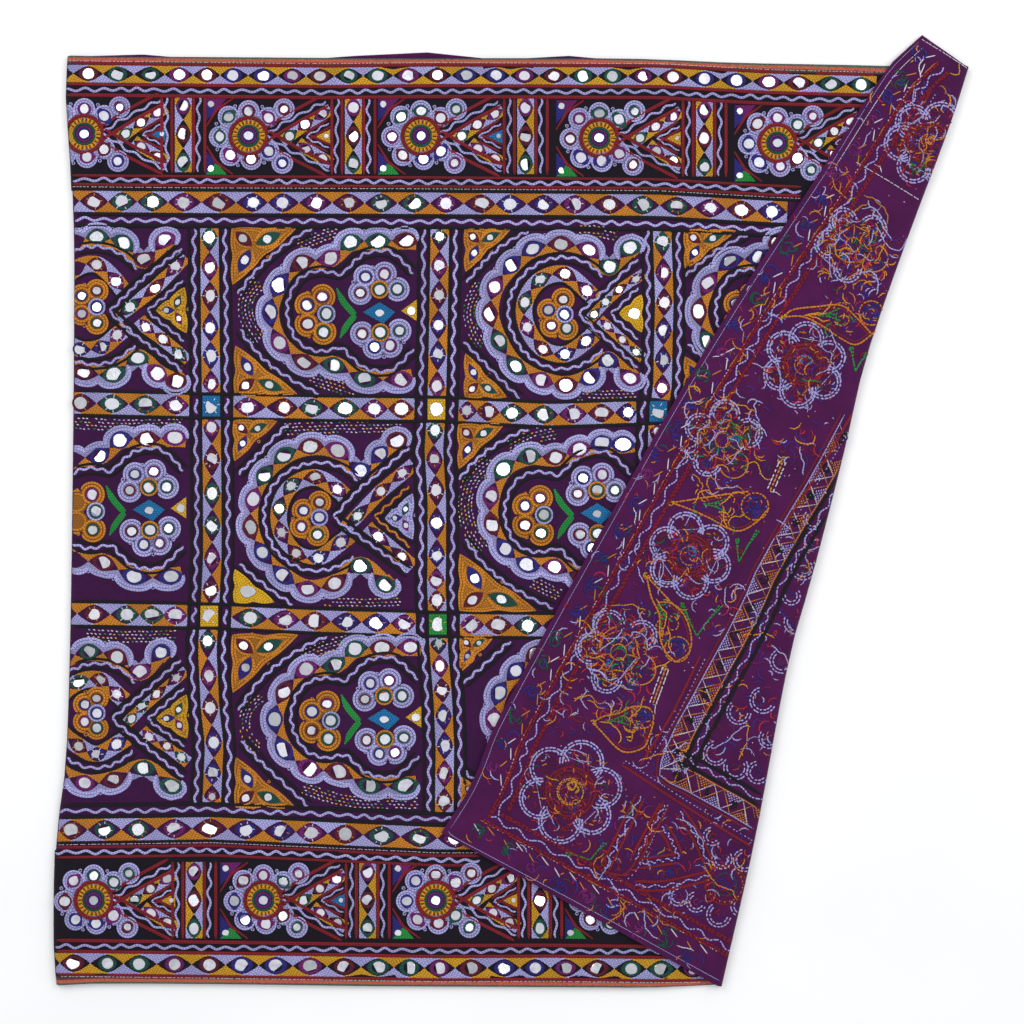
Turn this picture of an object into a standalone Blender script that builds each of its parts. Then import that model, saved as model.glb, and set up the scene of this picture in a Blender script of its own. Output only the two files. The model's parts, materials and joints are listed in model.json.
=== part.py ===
# Embroidered wall hanging, lying face up with its left part folded under and its right part turned back.
# Metres, +Z up. The origin is under the middle of the laid-out cloth, on the surface that it lies on.

import math

import bmesh
import bpy
from mathutils import Vector

MM = 0.001

# Thicknesses of the cloths, the air left between pieces that are sewn together, and the space left
# where the end of one strip meets the side of another
GROUND_THICK = 1.6 * MM
STRIP_THICK = 1.0 * MM
SEWN_GAP = 0.3 * MM
JOIN_GAP = 1.0 * MM

# Height of the cloth from hem to hem, and the depths of what is sewn along its edges
CLOTH_HEIGHT = 1000 * MM
HEM = 0.6 * MM
EDGING_DEPTH = 9.6 * MM
BORDER_DEPTH = 145 * MM
SIDE_BORDER_DEPTH = 176 * MM

# How far apart the layers lie, flat and in the rolls of the two folds
UNDER_GAP = 1.4 * MM
LEFT_ROLL_GAP = 3.9 * MM
FLAP_GAP = 4.8 * MM
FLAP_EDGE_GAP = 3.8 * MM
RIGHT_ROLL_GAP = 7.0 * MM
LEFT_ROLL_REACH = 50 * MM
RIGHT_ROLL_REACH = 55 * MM
FLAP_EDGE_REACH = 40 * MM

# The turned-back corner that reaches past the top hem sinks towards the surface
CORNER_DROOP = 2.6 * MM
CORNER_REACH = 34 * MM

# The folded-under layer ends here, and the cloth over it comes down to the surface past it
UNDER_END = 138 * MM
UNDER_STEP = 12 * MM
UNDER_SLOPE = 75 * MM
UNDER_TUCK = 3 * MM

# Slow rises of the cloth between the places where it touches
RIPPLE_HEIGHT = 1.1 * MM
RIPPLE_LENGTH = 330 * MM

# The hem lines of the laid-out cloth, seen from above, in mm: height of the top and bottom hem at each x
HEM_LINES = {
    "x": (-500, -445, -283, -132, 77, 149, 226, 343, 407, 500),
    "top": (492, 491, 490, 489, 489, 488, 485, 482, 480, 479),
    "bottom": (-510, -508, -509, -511, -512, -513, -511, -510, -510, -510),
}

# The two folds, seen from above, in mm: x of the outermost line at each share of the cloth's height
LEFT_FOLD = {
    "share": (0.00, 0.04, 0.16, 0.22, 0.28, 0.45, 0.78, 0.88, 0.96, 1.00),
    "x": (-490, -493, -491, -483, -479, -475, -472, -475, -480, -478),
}
RIGHT_FOLD = {
    "share": (0.00, 0.16, 0.36, 0.45, 0.58, 0.68, 0.81, 0.94, 1.00),
    "x": (226, 262, 300, 325, 358, 381, 425, 473, 492),
}

# The free edge of the turned-back part, in mm, at each share of the cloth's height
FLAP_EDGE = {
    "share": (0.00, 0.06, 0.11, 0.23, 0.41, 0.53, 0.66, 0.82, 0.95, 1.00),
    "x": (-76, -42, -26, 30, 117, 176, 248, 337, 406, 442),
    "y": (-345, -291, -246, -139, 17, 121, 239, 374, 480, 514),
}

# Where the folded-under layer swells past the line that it is tucked to along the top hem, in mm
PEEKS = (
    {"x": -110, "reach": 130, "height": 10.5},
    {"x": 78, "reach": 60, "height": 7.5},
    {"x": -395, "reach": 70, "height": 4.5},
)

# Sections of the cloth from its right-hand edge, round both folds, to its far edge, and the steps
# that each is drawn in. A place on the cloth is its section's number plus the share of the way along it.
FLAP, RIGHT_ROLL, FACE, LEFT_ROLL, UNDER, END = range(6)
STEPS = {FLAP: 7, RIGHT_ROLL: 8, FACE: 22, LEFT_ROLL: 6, UNDER: 8}
ROLLED_ENDS = LEFT_ROLL + 0.6
SIDE_BORDER_STOP = FLAP + 0.97

# Rows of faces up the cloth: in each border, and in the field between them
BORDER_ROWS = 4
FIELD_ROWS = 18
LEAST_STEP = 0.02


def mix(a, b, t):
    return a + (b - a) * t


def ease(t):
    """0 to 1, with a level start and end."""
    t = min(max(t, 0.0), 1.0)
    return t * t * (3 - 2 * t)


def secant(keys, values, n):
    """Slope of a table's curve at row n."""
    low, high = max(n - 1, 0), min(n + 1, len(keys) - 1)
    return (values[high] - values[low]) / (keys[high] - keys[low])


def read_table(table, key, column, at):
    """A column's value where the key column is at, on a smooth curve through the rows."""
    keys, values = table[key], table[column]
    at = min(max(at, keys[0]), keys[-1])
    n = next(n for n in range(len(keys) - 1) if at <= keys[n + 1])
    span, rise = keys[n + 1] - keys[n], values[n + 1] - values[n]
    t = (at - keys[n]) / span
    start_bend = span * secant(keys, values, n) - rise
    end_bend = rise - span * secant(keys, values, n + 1)
    return values[n] + t * rise + t * (1 - t) * mix(start_bend, end_bend, t)


def hem_height(x, edge):
    """y of the top or bottom hem at x."""
    return read_table(HEM_LINES, "x", edge, x / MM) * MM


def across(x, share):
    """The point of the laid-out cloth at x, at this share of the way from its bottom to its top hem."""
    return Vector((x, mix(hem_height(x, "bottom"), hem_height(x, "top"), share)))


def right_fold(share):
    """Outermost point of the right-hand fold."""
    return across(read_table(RIGHT_FOLD, "share", "x", share) * MM, share)


def left_fold(share):
    """Outermost point of the left-hand fold."""
    return across(read_table(LEFT_FOLD, "share", "x", share) * MM, share)


def flap_edge(share):
    """Point of the turned-back part's free edge."""
    x = read_table(FLAP_EDGE, "share", "x", share) * MM
    return Vector((x, read_table(FLAP_EDGE, "share", "y", share) * MM))


def ripple(x, y):
    """Slow rise of the cloth at a point, never below nothing."""
    wave = math.sin(2 * math.pi * (x + 0.35 * y) / RIPPLE_LENGTH)
    cross_wave = math.sin(2 * math.pi * (y - 0.2 * x) / (1.3 * RIPPLE_LENGTH))
    return RIPPLE_HEIGHT * (1 + wave * cross_wave) / 2


def face_height(x, y, from_left=LEFT_ROLL_REACH):
    """Middle of the cloth's thickness in the part that lies face up."""
    over = 1 - ease((x - UNDER_END - UNDER_STEP) / UNDER_SLOPE)
    flat = ease(from_left / LEFT_ROLL_REACH)
    lift = over * (GROUND_THICK + UNDER_GAP) + (1 - flat) * (LEFT_ROLL_GAP - UNDER_GAP)
    return GROUND_THICK / 2 + lift + flat * ripple(x, y)


def right_roll(share):
    """Plan point where the right-hand roll starts and ends, its outward direction, low height and radius."""
    nudge = 0.02
    along = right_fold(min(share + nudge, 1)) - right_fold(max(share - nudge, 0))
    along.normalize()
    away = Vector((along.y, -along.x))
    radius = (GROUND_THICK + RIGHT_ROLL_GAP) / 2
    start = right_fold(share) - away * (radius + GROUND_THICK / 2)
    return start, away, face_height(start.x, start.y), radius


def left_roll(share):
    """Plan point where the left-hand roll starts and ends, its high height and radius."""
    out = left_fold(share)
    radius = (GROUND_THICK + LEFT_ROLL_GAP) / 2
    start = Vector((out.x + radius + GROUND_THICK / 2, out.y))
    return start, GROUND_THICK / 2 + 2 * radius, radius


def flap_height(plan, from_edge, from_fold):
    """Middle of the thickness of the turned-back part, over the cloth that it lies on."""
    gap = mix(FLAP_EDGE_GAP, FLAP_GAP, ease(from_edge / FLAP_EDGE_REACH))
    gap = mix(RIGHT_ROLL_GAP, gap, ease(from_fold / RIGHT_ROLL_REACH))
    past_hem = plan.y - hem_height(plan.x, "top")
    droop = CORNER_DROOP * ease(past_hem / CORNER_REACH)
    return face_height(plan.x, plan.y) + gap + GROUND_THICK - droop


def peek(x):
    """How far the folded-under layer swells past its tucked line at x."""
    swell = 0.0
    for hump in PEEKS:
        swell += hump["height"] * MM * ease(1 - abs(x / MM - hump["x"]) / hump["reach"])
    return swell


def cloth(share, place):
    """Middle of the cloth's thickness at a share of its height and a place along it."""
    section = min(int(place), UNDER)
    t = place - section
    if section == FLAP:
        return flap_point(share, t)
    if section == RIGHT_ROLL:
        start, away, low, radius = right_roll(share)
        plan = start + away * radius * math.sin(math.pi * t)
        return Vector((*plan, low + radius * (1 + math.cos(math.pi * t))))
    if section == FACE:
        return face_point(share, t)
    start, high, radius = left_roll(share)
    if section == LEFT_ROLL:
        x = start.x - radius * math.sin(math.pi * t)
        return Vector((x, start.y, high - radius * (1 - math.cos(math.pi * t))))
    plan = across(mix(start.x, UNDER_END, t), share)
    tuck = UNDER_TUCK * ease(4 * t)
    plan.y += mix(tuck, peek(plan.x) - tuck, share)
    return Vector((*plan, GROUND_THICK / 2))


def flap_point(share, t):
    start = right_roll(share)[0]
    edge = flap_edge(share)
    length = (edge - start).length
    plan = edge.lerp(start, t)
    return Vector((*plan, flap_height(plan, t * length, (1 - t) * length)))


def face_point(share, t):
    start, end = right_roll(share)[0], left_roll(share)[0]
    plan = across(mix(start.x, end.x, t), share)
    plan.y += (start.y - across(start.x, share).y) * (1 - ease(4 * t))
    return Vector((*plan, face_height(plan.x, plan.y, plan.x - end.x)))


def front_normal(share, place):
    """Direction out of the cloth's embroidered side."""
    nudge = 0.004
    up = cloth(min(share + nudge, 1), place) - cloth(max(share - nudge, 0), place)
    along = cloth(share, min(place + nudge, END)) - cloth(share, max(place - nudge, 0))
    return up.cross(along).normalized()


def place_from_edge(share, distance):
    """The place on the cloth at this distance along it from its right-hand edge."""
    start, _, _, radius = right_roll(share)
    flap_length = (flap_edge(share) - start).length
    roll_length = math.pi * radius
    if distance <= flap_length:
        return FLAP + distance / flap_length
    if distance <= flap_length + roll_length:
        return RIGHT_ROLL + (distance - flap_length) / roll_length
    face_length = start.x - left_roll(share)[0].x
    return FACE + (distance - flap_length - roll_length) / face_length


def places_between(first, last):
    """The places of the sections' steps between two places, with both ends."""
    places = [first]
    for section, steps in STEPS.items():
        for n in range(steps):
            place = section + n / steps
            if first + LEAST_STEP < place < last - LEAST_STEP:
                places.append(place)
    return places + [last]


def shares_between(first, last):
    """The shares of the height where rows of faces meet, between two shares, with both ends."""
    edging, border = EDGING_DEPTH / CLOTH_HEIGHT, BORDER_DEPTH / CLOTH_HEIGHT
    below = [0.0] + [mix(edging, border, n / BORDER_ROWS) for n in range(BORDER_ROWS + 1)]
    field = [mix(border, 1 - border, n / FIELD_ROWS) for n in range(1, FIELD_ROWS)]
    above = [1 - share for share in reversed(below)]
    least = 2 * SEWN_GAP / CLOTH_HEIGHT
    inner = [s for s in below + field + above if first + least < s < last - least]
    return [first] + inner + [last]


def material(name, colour, roughness):
    finish = bpy.data.materials.new(name)
    finish.use_nodes = True
    shader = finish.node_tree.nodes["Principled BSDF"]
    shader.inputs["Base Color"].default_value = (*colour, 1)
    shader.inputs["Roughness"].default_value = roughness
    shader.inputs["Metallic"].default_value = 0
    return finish


def join_rows(build, low, high):
    """Faces between two rows of (place, vertex), matched by place."""
    a, b = 0, 0
    while a < len(low) - 1 or b < len(high) - 1:
        low_next = low[a + 1][0] if a < len(low) - 1 else math.inf
        high_next = high[b + 1][0] if b < len(high) - 1 else math.inf
        corners = [low[a][1], high[b][1]]
        level = abs(low_next - high_next) < LEAST_STEP
        at_ends = a == len(low) - 2 and b == len(high) - 2
        step_low = level or at_ends or low_next < high_next
        step_high = level or at_ends or high_next < low_next
        if step_high:
            b += 1
            corners.append(high[b][1])
        if step_low:
            a += 1
            corners.append(low[a][1])
        build.faces.new(corners)


def cloth_piece(name, shares, first, last, lift, thickness, finish):
    """A piece of one thickness that follows the cloth, from the place first(share) to last(share)."""
    build = bmesh.new()
    rows = []
    for share in shares:
        row = []
        for place in places_between(first(share), last(share)):
            point = cloth(share, place) + front_normal(share, place) * lift
            row.append((place, build.verts.new(point)))
        rows.append(row)
    for low, high in zip(rows, rows[1:]):
        join_rows(build, low, high)
    bmesh.ops.recalc_face_normals(build, faces=build.faces)
    mesh = bpy.data.meshes.new(name)
    build.to_mesh(mesh)
    build.free()
    mesh.shade_smooth()
    mesh.materials.append(finish)
    piece = bpy.data.objects.new(name, mesh)
    bpy.context.scene.collection.objects.link(piece)
    wall = piece.modifiers.new("Thickness", "SOLIDIFY")
    wall.thickness = thickness
    wall.offset = 0
    wall.use_even_offset = True


def sewn_strip(name, shares, near, far, finish):
    """A strip sewn to the front. near and far are its distances from the right-hand edge, and it stops
    short of the fold. No far means that it runs on to the other fold."""

    def last(share):
        return ROLLED_ENDS if far is None else min(place_from_edge(share, far), SIDE_BORDER_STOP)

    lift = GROUND_THICK / 2 + SEWN_GAP + STRIP_THICK / 2
    cloth_piece(name, shares, lambda share: place_from_edge(share, near), last, lift, STRIP_THICK, finish)


def build_hanging():
    for old in list(bpy.data.objects):
        bpy.data.objects.remove(old)
    purple = material("purple cotton", (0.085, 0.012, 0.075), 0.9)
    black = material("black cotton", (0.012, 0.010, 0.016), 0.85)
    striped = material("striped edging", (0.75, 0.20, 0.06), 0.8)

    whole = shares_between(0.0, 1.0)
    cloth_piece("ground_cloth", whole, lambda share: 0.0, lambda share: END, 0.0, GROUND_THICK, purple)

    inside_edging = EDGING_DEPTH + SEWN_GAP
    hem, edging = HEM / CLOTH_HEIGHT, EDGING_DEPTH / CLOTH_HEIGHT
    border, gap = BORDER_DEPTH / CLOTH_HEIGHT, SEWN_GAP / CLOTH_HEIGHT
    join = JOIN_GAP / CLOTH_HEIGHT
    for where, flip in (("bottom", False), ("top", True)):
        edging_rows = shares_between(hem, edging)
        border_rows = shares_between(edging + gap, border)
        if flip:
            edging_rows = [1 - share for share in reversed(edging_rows)]
            border_rows = [1 - share for share in reversed(border_rows)]
        sewn_strip(f"edging_{where}", edging_rows, inside_edging, None, striped)
        sewn_strip(f"border_{where}", border_rows, inside_edging, None, black)

    sewn_strip("edging_right", shares_between(hem, 1 - hem), HEM, EDGING_DEPTH, striped)
    side_rows = shares_between(border + join, 1 - border - join)
    sewn_strip("border_right", side_rows, inside_edging, SIDE_BORDER_DEPTH, black)


build_hanging()
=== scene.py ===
import json
import random
from math import atan2, cos, hypot, pi, radians, sin, sqrt

import bmesh
import bpy
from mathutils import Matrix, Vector, noise
from mathutils.bvhtree import BVHTree

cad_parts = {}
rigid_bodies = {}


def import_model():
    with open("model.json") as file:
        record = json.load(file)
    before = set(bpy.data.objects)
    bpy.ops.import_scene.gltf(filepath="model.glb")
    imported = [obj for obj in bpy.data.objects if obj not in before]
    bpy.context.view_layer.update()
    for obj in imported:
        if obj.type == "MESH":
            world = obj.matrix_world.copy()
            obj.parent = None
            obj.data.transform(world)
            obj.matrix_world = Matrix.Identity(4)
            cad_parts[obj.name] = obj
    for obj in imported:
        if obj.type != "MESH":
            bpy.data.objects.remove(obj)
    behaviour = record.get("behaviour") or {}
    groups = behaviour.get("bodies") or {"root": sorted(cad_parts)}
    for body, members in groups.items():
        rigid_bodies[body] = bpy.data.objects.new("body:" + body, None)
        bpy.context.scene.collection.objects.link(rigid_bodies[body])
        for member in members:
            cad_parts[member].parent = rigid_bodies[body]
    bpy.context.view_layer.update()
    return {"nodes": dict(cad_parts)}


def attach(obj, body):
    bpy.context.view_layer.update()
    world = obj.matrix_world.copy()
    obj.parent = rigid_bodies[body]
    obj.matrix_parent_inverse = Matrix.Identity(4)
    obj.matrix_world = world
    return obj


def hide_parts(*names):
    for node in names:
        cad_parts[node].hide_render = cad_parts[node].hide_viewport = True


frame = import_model()
scene = bpy.context.scene
print("frame loaded")

# The needlework is laid out on a drawing of 1024 by 1024 units, y down, with the cloth's middle near its own
drawing = {
    "unit": 0.00108,  # metres on the cloth for one unit of the drawing
    "middle": (512.0, 512.5),
}
unit = drawing["unit"]


def onCloth(x, y):
    return (x - drawing["middle"][0]) * unit, (drawing["middle"][1] - y) * unit


def mix(a, b, t):
    return a + (b - a) * t


def ease(t):
    t = min(max(t, 0.0), 1.0)
    return t * t * (3 - 2 * t)


def polar(x, y, radius, angle):
    return x + radius * cos(angle), y - radius * sin(angle)


def mixed(a, b, t):
    return mix(a[0], b[0], t), mix(a[1], b[1], t)


def straight(a, b):
    return [a, mixed(a, b, 0.5), b]


def bothWays(a, b):
    return (a, b), (b, a)


def heading(a, b):
    # the way from one place to another, and the way across it
    way = (Vector(b) - Vector(a)).normalized()
    return way, Vector((-way.y, way.x))


def placer(cx, cy):
    # places drawn from a middle with y up, one at a time or as a list
    def spot(p):
        return cx + p[0], cy - p[1]

    return spot, lambda points: [spot(p) for p in points]


def readTable(table, at):
    # value at a place in a table of (place, value) rows, straight between rows and level past its ends
    if at <= table[0][0]:
        return table[0][1]
    for (low, lowValue), (high, highValue) in zip(table, table[1:]):
        if at <= high:
            return mix(lowValue, highValue, (at - low) / (high - low))
    return table[-1][1]


def mark(mesh, **columns):
    for label, values in columns.items():
        mesh.attributes.new(label, "FLOAT", "POINT").data.foreach_set("value", values)


def meshFrom(name, verts, edges=(), faces=(), **columns):
    mesh = bpy.data.meshes.new(name)
    mesh.from_pydata(verts, edges, faces)
    mark(mesh, **columns)
    return mesh


def linked(name, data):
    piece = bpy.data.objects.new(name, data)
    scene.collection.objects.link(piece)
    return piece


making = {"tree": None}  # the node tree that the helpers below add to


def fillInputs(node, inputs):
    # by name or number, from values or from other nodes
    for key, value in dict(inputs).items():
        if isinstance(value, bpy.types.NodeSocket):
            making["tree"].links.new(value, node.inputs[key])
        else:
            node.inputs[key].default_value = value


def add(kind, inputs=(), output=0, **settings):
    # a node with its inputs filled; gives back one output
    node = making["tree"].nodes.new(kind)
    for label, value in settings.items():
        setattr(node, label, value)
    fillInputs(node, inputs)
    return node.outputs[output]


def calc(operation, first, second=0.0):
    return add("ShaderNodeMath", {0: first, 1: second}, operation=operation)


def plus(first, second):
    return calc("ADD", first, second)


def times(first, second):
    return calc("MULTIPLY", first, second)


def offMiddle(value, middle):
    return calc("ABSOLUTE", calc("SUBTRACT", value, middle))


def ramp(value, low, high, atLow=0.0, atHigh=1.0):
    inputs = {"Value": value, "From Min": low, "From Max": high, "To Min": atLow, "To Max": atHigh}
    return add("ShaderNodeMapRange", inputs, interpolation_type="SMOOTHSTEP")


def blendColour(factor, first, second):
    first, second = ((*c, 1) if isinstance(c, tuple) else c for c in (first, second))
    return add("ShaderNodeMix", {0: factor, 6: first, 7: second}, 2, data_type="RGBA")


def readAttribute(name):
    return add("ShaderNodeAttribute", output="Fac", attribute_name=name)


def objectCoords():
    return add("ShaderNodeTexCoord", output="Object")


def cloudy(scale, detail=2.0, coords=None):
    return add("ShaderNodeTexNoise", {"Scale": scale, "Detail": detail, "Vector": coords or objectCoords()}, "Fac")


def startMaterial(name):
    material = bpy.data.materials.new(name)
    material.use_nodes = True
    making["tree"] = material.node_tree
    return material


def finishMaterial(material, colour, bump=(), **sockets):
    # bump: its height, then its distance in metres and its strength
    shader = material.node_tree.nodes["Principled BSDF"]
    fillInputs(shader, {"Base Color": colour, **{label.replace("_", " "): value for label, value in sockets.items()}})
    if bump:
        normal = add("ShaderNodeBump", dict(zip(("Height", "Distance", "Strength"), bump)), "Normal")
        fillInputs(shader, {"Normal": normal})
    return material


def linear(red, green, blue):
    # a colour as seen on a screen, 0 to 255, as the light it gives back
    return tuple(
        c / 12.92 if c <= 0.04045 else ((c + 0.055) / 1.055) ** 2.4 for c in (red / 255, green / 255, blue / 255)
    )


def scaled(colour, factor):
    return tuple(min(c * factor, 1.0) for c in colour)


chainStitch = {
    "length": 0.0032,
    "stagger": 0.37,  # of a stitch, from one row to the next
    # how dark the painted shade in the chain's holes and in the grooves between rows is
    "hole": 0.85,
    "groove": 0.85,
    "bump": (0.0006, 0.7),
    "finish": {"Roughness": 0.66, "Sheen_Weight": 0.05, "Specular_IOR_Level": 0.22},
}


def threadMaterial(name, colour):
    # rows of chain stitch: along runs in metres, across in rows; shade is the dye's own variation, and is lower on
    # fillings under rows as painted shade in the gaps between them
    material = startMaterial(name)
    along, across = readAttribute("along"), readAttribute("across")
    row = calc("FLOOR", plus(across, 0.5))
    side = offMiddle(across, row)
    step = plus(calc("DIVIDE", along, chainStitch["length"]), times(row, chainStitch["stagger"]))
    fromMiddle = offMiddle(calc("FRACT", step), 0.5)
    hole = ramp(plus(times(side, 1.2), times(fromMiddle, 0.75)), 0.17, 0.34, 1.0, 0.0)
    groove = ramp(side, 0.28, 0.46)
    pinch = ramp(fromMiddle, 0.38, 0.5)
    # painted shade: the holes of each chain loop and the grooves between rows are darkened towards a near black of the
    # thread's own colour
    paintedShade = calc("MAXIMUM", times(hole, chainStitch["hole"]), times(groove, chainStitch["groove"]))
    faded = blendColour(ramp(cloudy(28.0), 0.35, 0.7), scaled(colour, 1.12), scaled(colour, 0.84))
    fibre = blendColour(ramp(cloudy(1400.0, 1.0), 0.3, 0.7), faded, scaled(colour, 0.72))
    dyedAndShaded = add("ShaderNodeVectorMath", {0: fibre, "Scale": readAttribute("shade")}, operation="SCALE")
    low = calc("MAXIMUM", hole, calc("MAXIMUM", groove, times(pinch, 0.6)))
    return finishMaterial(
        material, blendColour(paintedShade, dyedAndShaded, scaled(colour, 0.10)), (calc("SUBTRACT", 1.0, low), *chainStitch["bump"]),
        **chainStitch["finish"]
    )


threadColours = {
    "lilac": (188, 184, 244),
    "orange": (222, 140, 36),
    "gold": (226, 166, 34),
    "yellow": (248, 190, 30),
    "black": (11, 6, 17),
    "red": (138, 18, 36),
    "purple": (74, 18, 72),
    "magenta": (122, 22, 112),
    "maroon": (104, 14, 44),
    "green": (20, 84, 72),
    "blue": (44, 36, 132),
    "leaf": (30, 156, 66),
    "sky": (20, 126, 190),
    "white": (236, 234, 240),
    "scarlet": (206, 40, 60),
    "amber": (236, 150, 44),
    "violet": (62, 40, 150),
}

cotton = {
    "thread": 0.0009,
    "crease": 5.0,
    "bump": (0.0004, 0.7),
    "finish": {"Roughness": 0.88, "Sheen_Weight": 0.06, "Specular_IOR_Level": 0.2},
}


def wovenMaterial(name, front, back):
    # plain weave, its warp and weft as two crossed waves; back is the colour where the reverse shows
    material = startMaterial(name)
    coords = objectCoords()
    axes = add("ShaderNodeSeparateXYZ", {0: coords}).node.outputs
    warp, weft = (calc("SINE", times(axes[n], 2 * pi / cotton["thread"])) for n in (0, 1))
    weave = times(warp, weft)
    patchy = ramp(cloudy(34.0, 4.0, coords), 0.3, 0.7)
    slub = ramp(cloudy(260.0, 2.0, coords), 0.35, 0.75)
    dyedAndShaded = blendColour(readAttribute("reverse"), front, back)
    # cloudy darker patches at random: uneven dye, and painted shade standing in for the small puckers
    dyedAndShaded = blendColour(times(patchy, 0.45), dyedAndShaded, scaled(front, 0.6))
    dyedAndShaded = blendColour(times(slub, 0.35), dyedAndShaded, scaled(front, 1.5))
    # painted shade in the weave's hollows: darker where warp and weft dip
    dyedAndShaded = blendColour(ramp(weave, -1.0, 1.0, 0.25, 0.0), dyedAndShaded, scaled(front, 0.3))
    crease = times(cloudy(95.0, 2.0, coords), cotton["crease"])
    height = plus(plus(times(weave, 0.35), times(slub, 0.65)), crease)
    return finishMaterial(material, dyedAndShaded, (height, *cotton["bump"]), **cotton["finish"])


ribbonStripes = {
    "colours": (((78, 104, 84), (44, 62, 50)), ((212, 100, 60), (156, 60, 42)), ((64, 14, 24), (96, 22, 30)),
                ((24, 14, 22), (24, 14, 22))),
    "starts": (0.20, 0.54, 0.82),  # where the second, third and fourth begin
    "blend": 0.06,
    "cord": 60.0,
}


def edgingMaterial(name):
    # striped ribbon: green outside, then orange, then deep red and near black; across is 0 at its outer side and 1 at
    # its inner
    material = startMaterial(name)
    across = readAttribute("across")
    fine = ramp(cloudy(900.0, 1.0), 0.3, 0.7)
    band, *others = (blendColour(fine, linear(*a), linear(*b)) for a, b in ribbonStripes["colours"])
    for start, colour in zip(ribbonStripes["starts"], others):
        band = blendColour(ramp(across, start, start + ribbonStripes["blend"]), band, colour)
    # painted shade between the cords: each cord's hollow is darkened towards a dark red-brown
    cord = calc("SINE", times(across, ribbonStripes["cord"]))
    band = blendColour(ramp(cord, -1.0, 1.0, 0.35, 0.0), band, linear(60, 20, 20))
    return finishMaterial(material, band, (plus(cord, fine), 0.0003, 0.5), Roughness=0.7, Sheen_Weight=0.2)


def mirrorMaterial(name):
    # old blown-glass mirror: bright, with clouds and a few darker flecks in its silvering
    material = startMaterial(name)
    coords = objectCoords()
    clouds = ramp(cloudy(160.0, 3.0, coords), 0.35, 0.7)
    flecks = ramp(cloudy(900.0, 2.0, coords), 0.62, 0.72)
    silver = blendColour(clouds, linear(232, 232, 240), linear(202, 202, 212))
    silver = blendColour(times(flecks, 0.5), silver, linear(110, 108, 112))
    # tarnish and painted dim reflection: some mirrors are greyer all over
    silver = blendColour(readAttribute("tarnish"), silver, linear(132, 138, 134))
    return finishMaterial(
        material, silver, (cloudy(150.0, 2.0, coords), 0.0005, 0.10), Roughness=ramp(clouds, 0.0, 1.0, 0.16, 0.30),
        Metallic=0.7, Specular_IOR_Level=0.6
    )


print("materials ready")

# The cloths: finer copies of the CAD nodes, with the small puckers that the sewing gives them

cloths = {
    "ripple": (0.0011, 0.330),  # the CAD cloth's own slow rises, height and length
    "cuts": 3,
    "longEdge": 0.008,
    "pucker": 0.0006,
    "puckerSize": 0.034,
    "turnedPucker": 2.2,
    "crease": (0.45, 0.011),
    "foldLine": ((0.226, -0.511), (0.492, 0.479)),
    "leftEdge": -0.478,
    "under": (0.142, 0.0023),  # where the folded-under layer ends, and its top
    "underRise": (0.150, 0.075),  # where the face comes down beside it, and over what length
    "split": (0.0035, 0.003),  # between the two parts, off and over the folded-under layer
    "edging": 0.0096,
}


def ripple(x, y):
    height, length = cloths["ripple"]
    wave = sin(2 * pi * (x + 0.35 * y) / length)
    crossWave = sin(2 * pi * (y - 0.2 * x) / (1.3 * length))
    return height * (1 + wave * crossWave) / 2


def foldedUnder(x, z):
    return x < cloths["under"][0] and z < cloths["under"][1]


def splitHeight(x, y):
    # between the face with its strips and the turned-back part with its own
    (start, length), (low, more) = cloths["underRise"], cloths["split"]
    return low + ripple(x, y) + more * (1 - ease((x - start) / length)) if x > -0.2 else 0.02


def fromFold(x, y):
    (x0, y0), (x1, y1) = cloths["foldLine"]
    return abs((x - x0) * (y1 - y0) - (y - y0) * (x1 - x0)) / hypot(x1 - x0, y1 - y0)


def pucker(x, y, z):
    if foldedUnder(x, z):
        return 0.0  # it lies flat on the surface
    turned = z > splitHeight(x, y)
    size = cloths["puckerSize"]
    place = Vector((x / size, y / size, 7.0 if turned else 0.0))
    lump = noise.noise(place) * 0.6 + noise.noise(place * 2.1) * 0.3
    if turned:
        swing, width = cloths["crease"]
        lump += swing * sin((x * 0.86 - y * 0.5) / width + 2.0 * noise.noise(place * 0.4))
    fade = ease((fromFold(x, y) - 0.008) / 0.05) * ease((x - cloths["leftEdge"] - 0.01) / 0.05)
    return cloths["pucker"] * (cloths["turnedPucker"] if turned else 1.0) * fade * min(max(0.5 + 0.55 * lump, 0.0), 1.0)


def edgingPlace(name, x, y):
    # 0 at the ribbon's outer side, 1 at its inner
    if name == "edging_top":
        return min(max((hemHeight("top", x) - y) / cloths["edging"], 0.0), 1.0)
    if name == "edging_bottom":
        return min(max((y - hemHeight("bottom", x)) / cloths["edging"], 0.0), 1.0)
    return 0.5


hemLines = {
    "top": [(-0.500, 0.492), (-0.445, 0.491), (-0.283, 0.490), (-0.132, 0.489), (0.077, 0.489), (0.149, 0.488),
            (0.226, 0.485), (0.343, 0.482), (0.407, 0.480), (0.500, 0.479)],
    "bottom": [(-0.500, -0.510), (-0.445, -0.508), (-0.283, -0.509), (-0.132, -0.511), (0.077, -0.512),
               (0.149, -0.513), (0.226, -0.511), (0.500, -0.510)],
}


def hemHeight(edge, x):
    return readTable(hemLines[edge], x)


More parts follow.
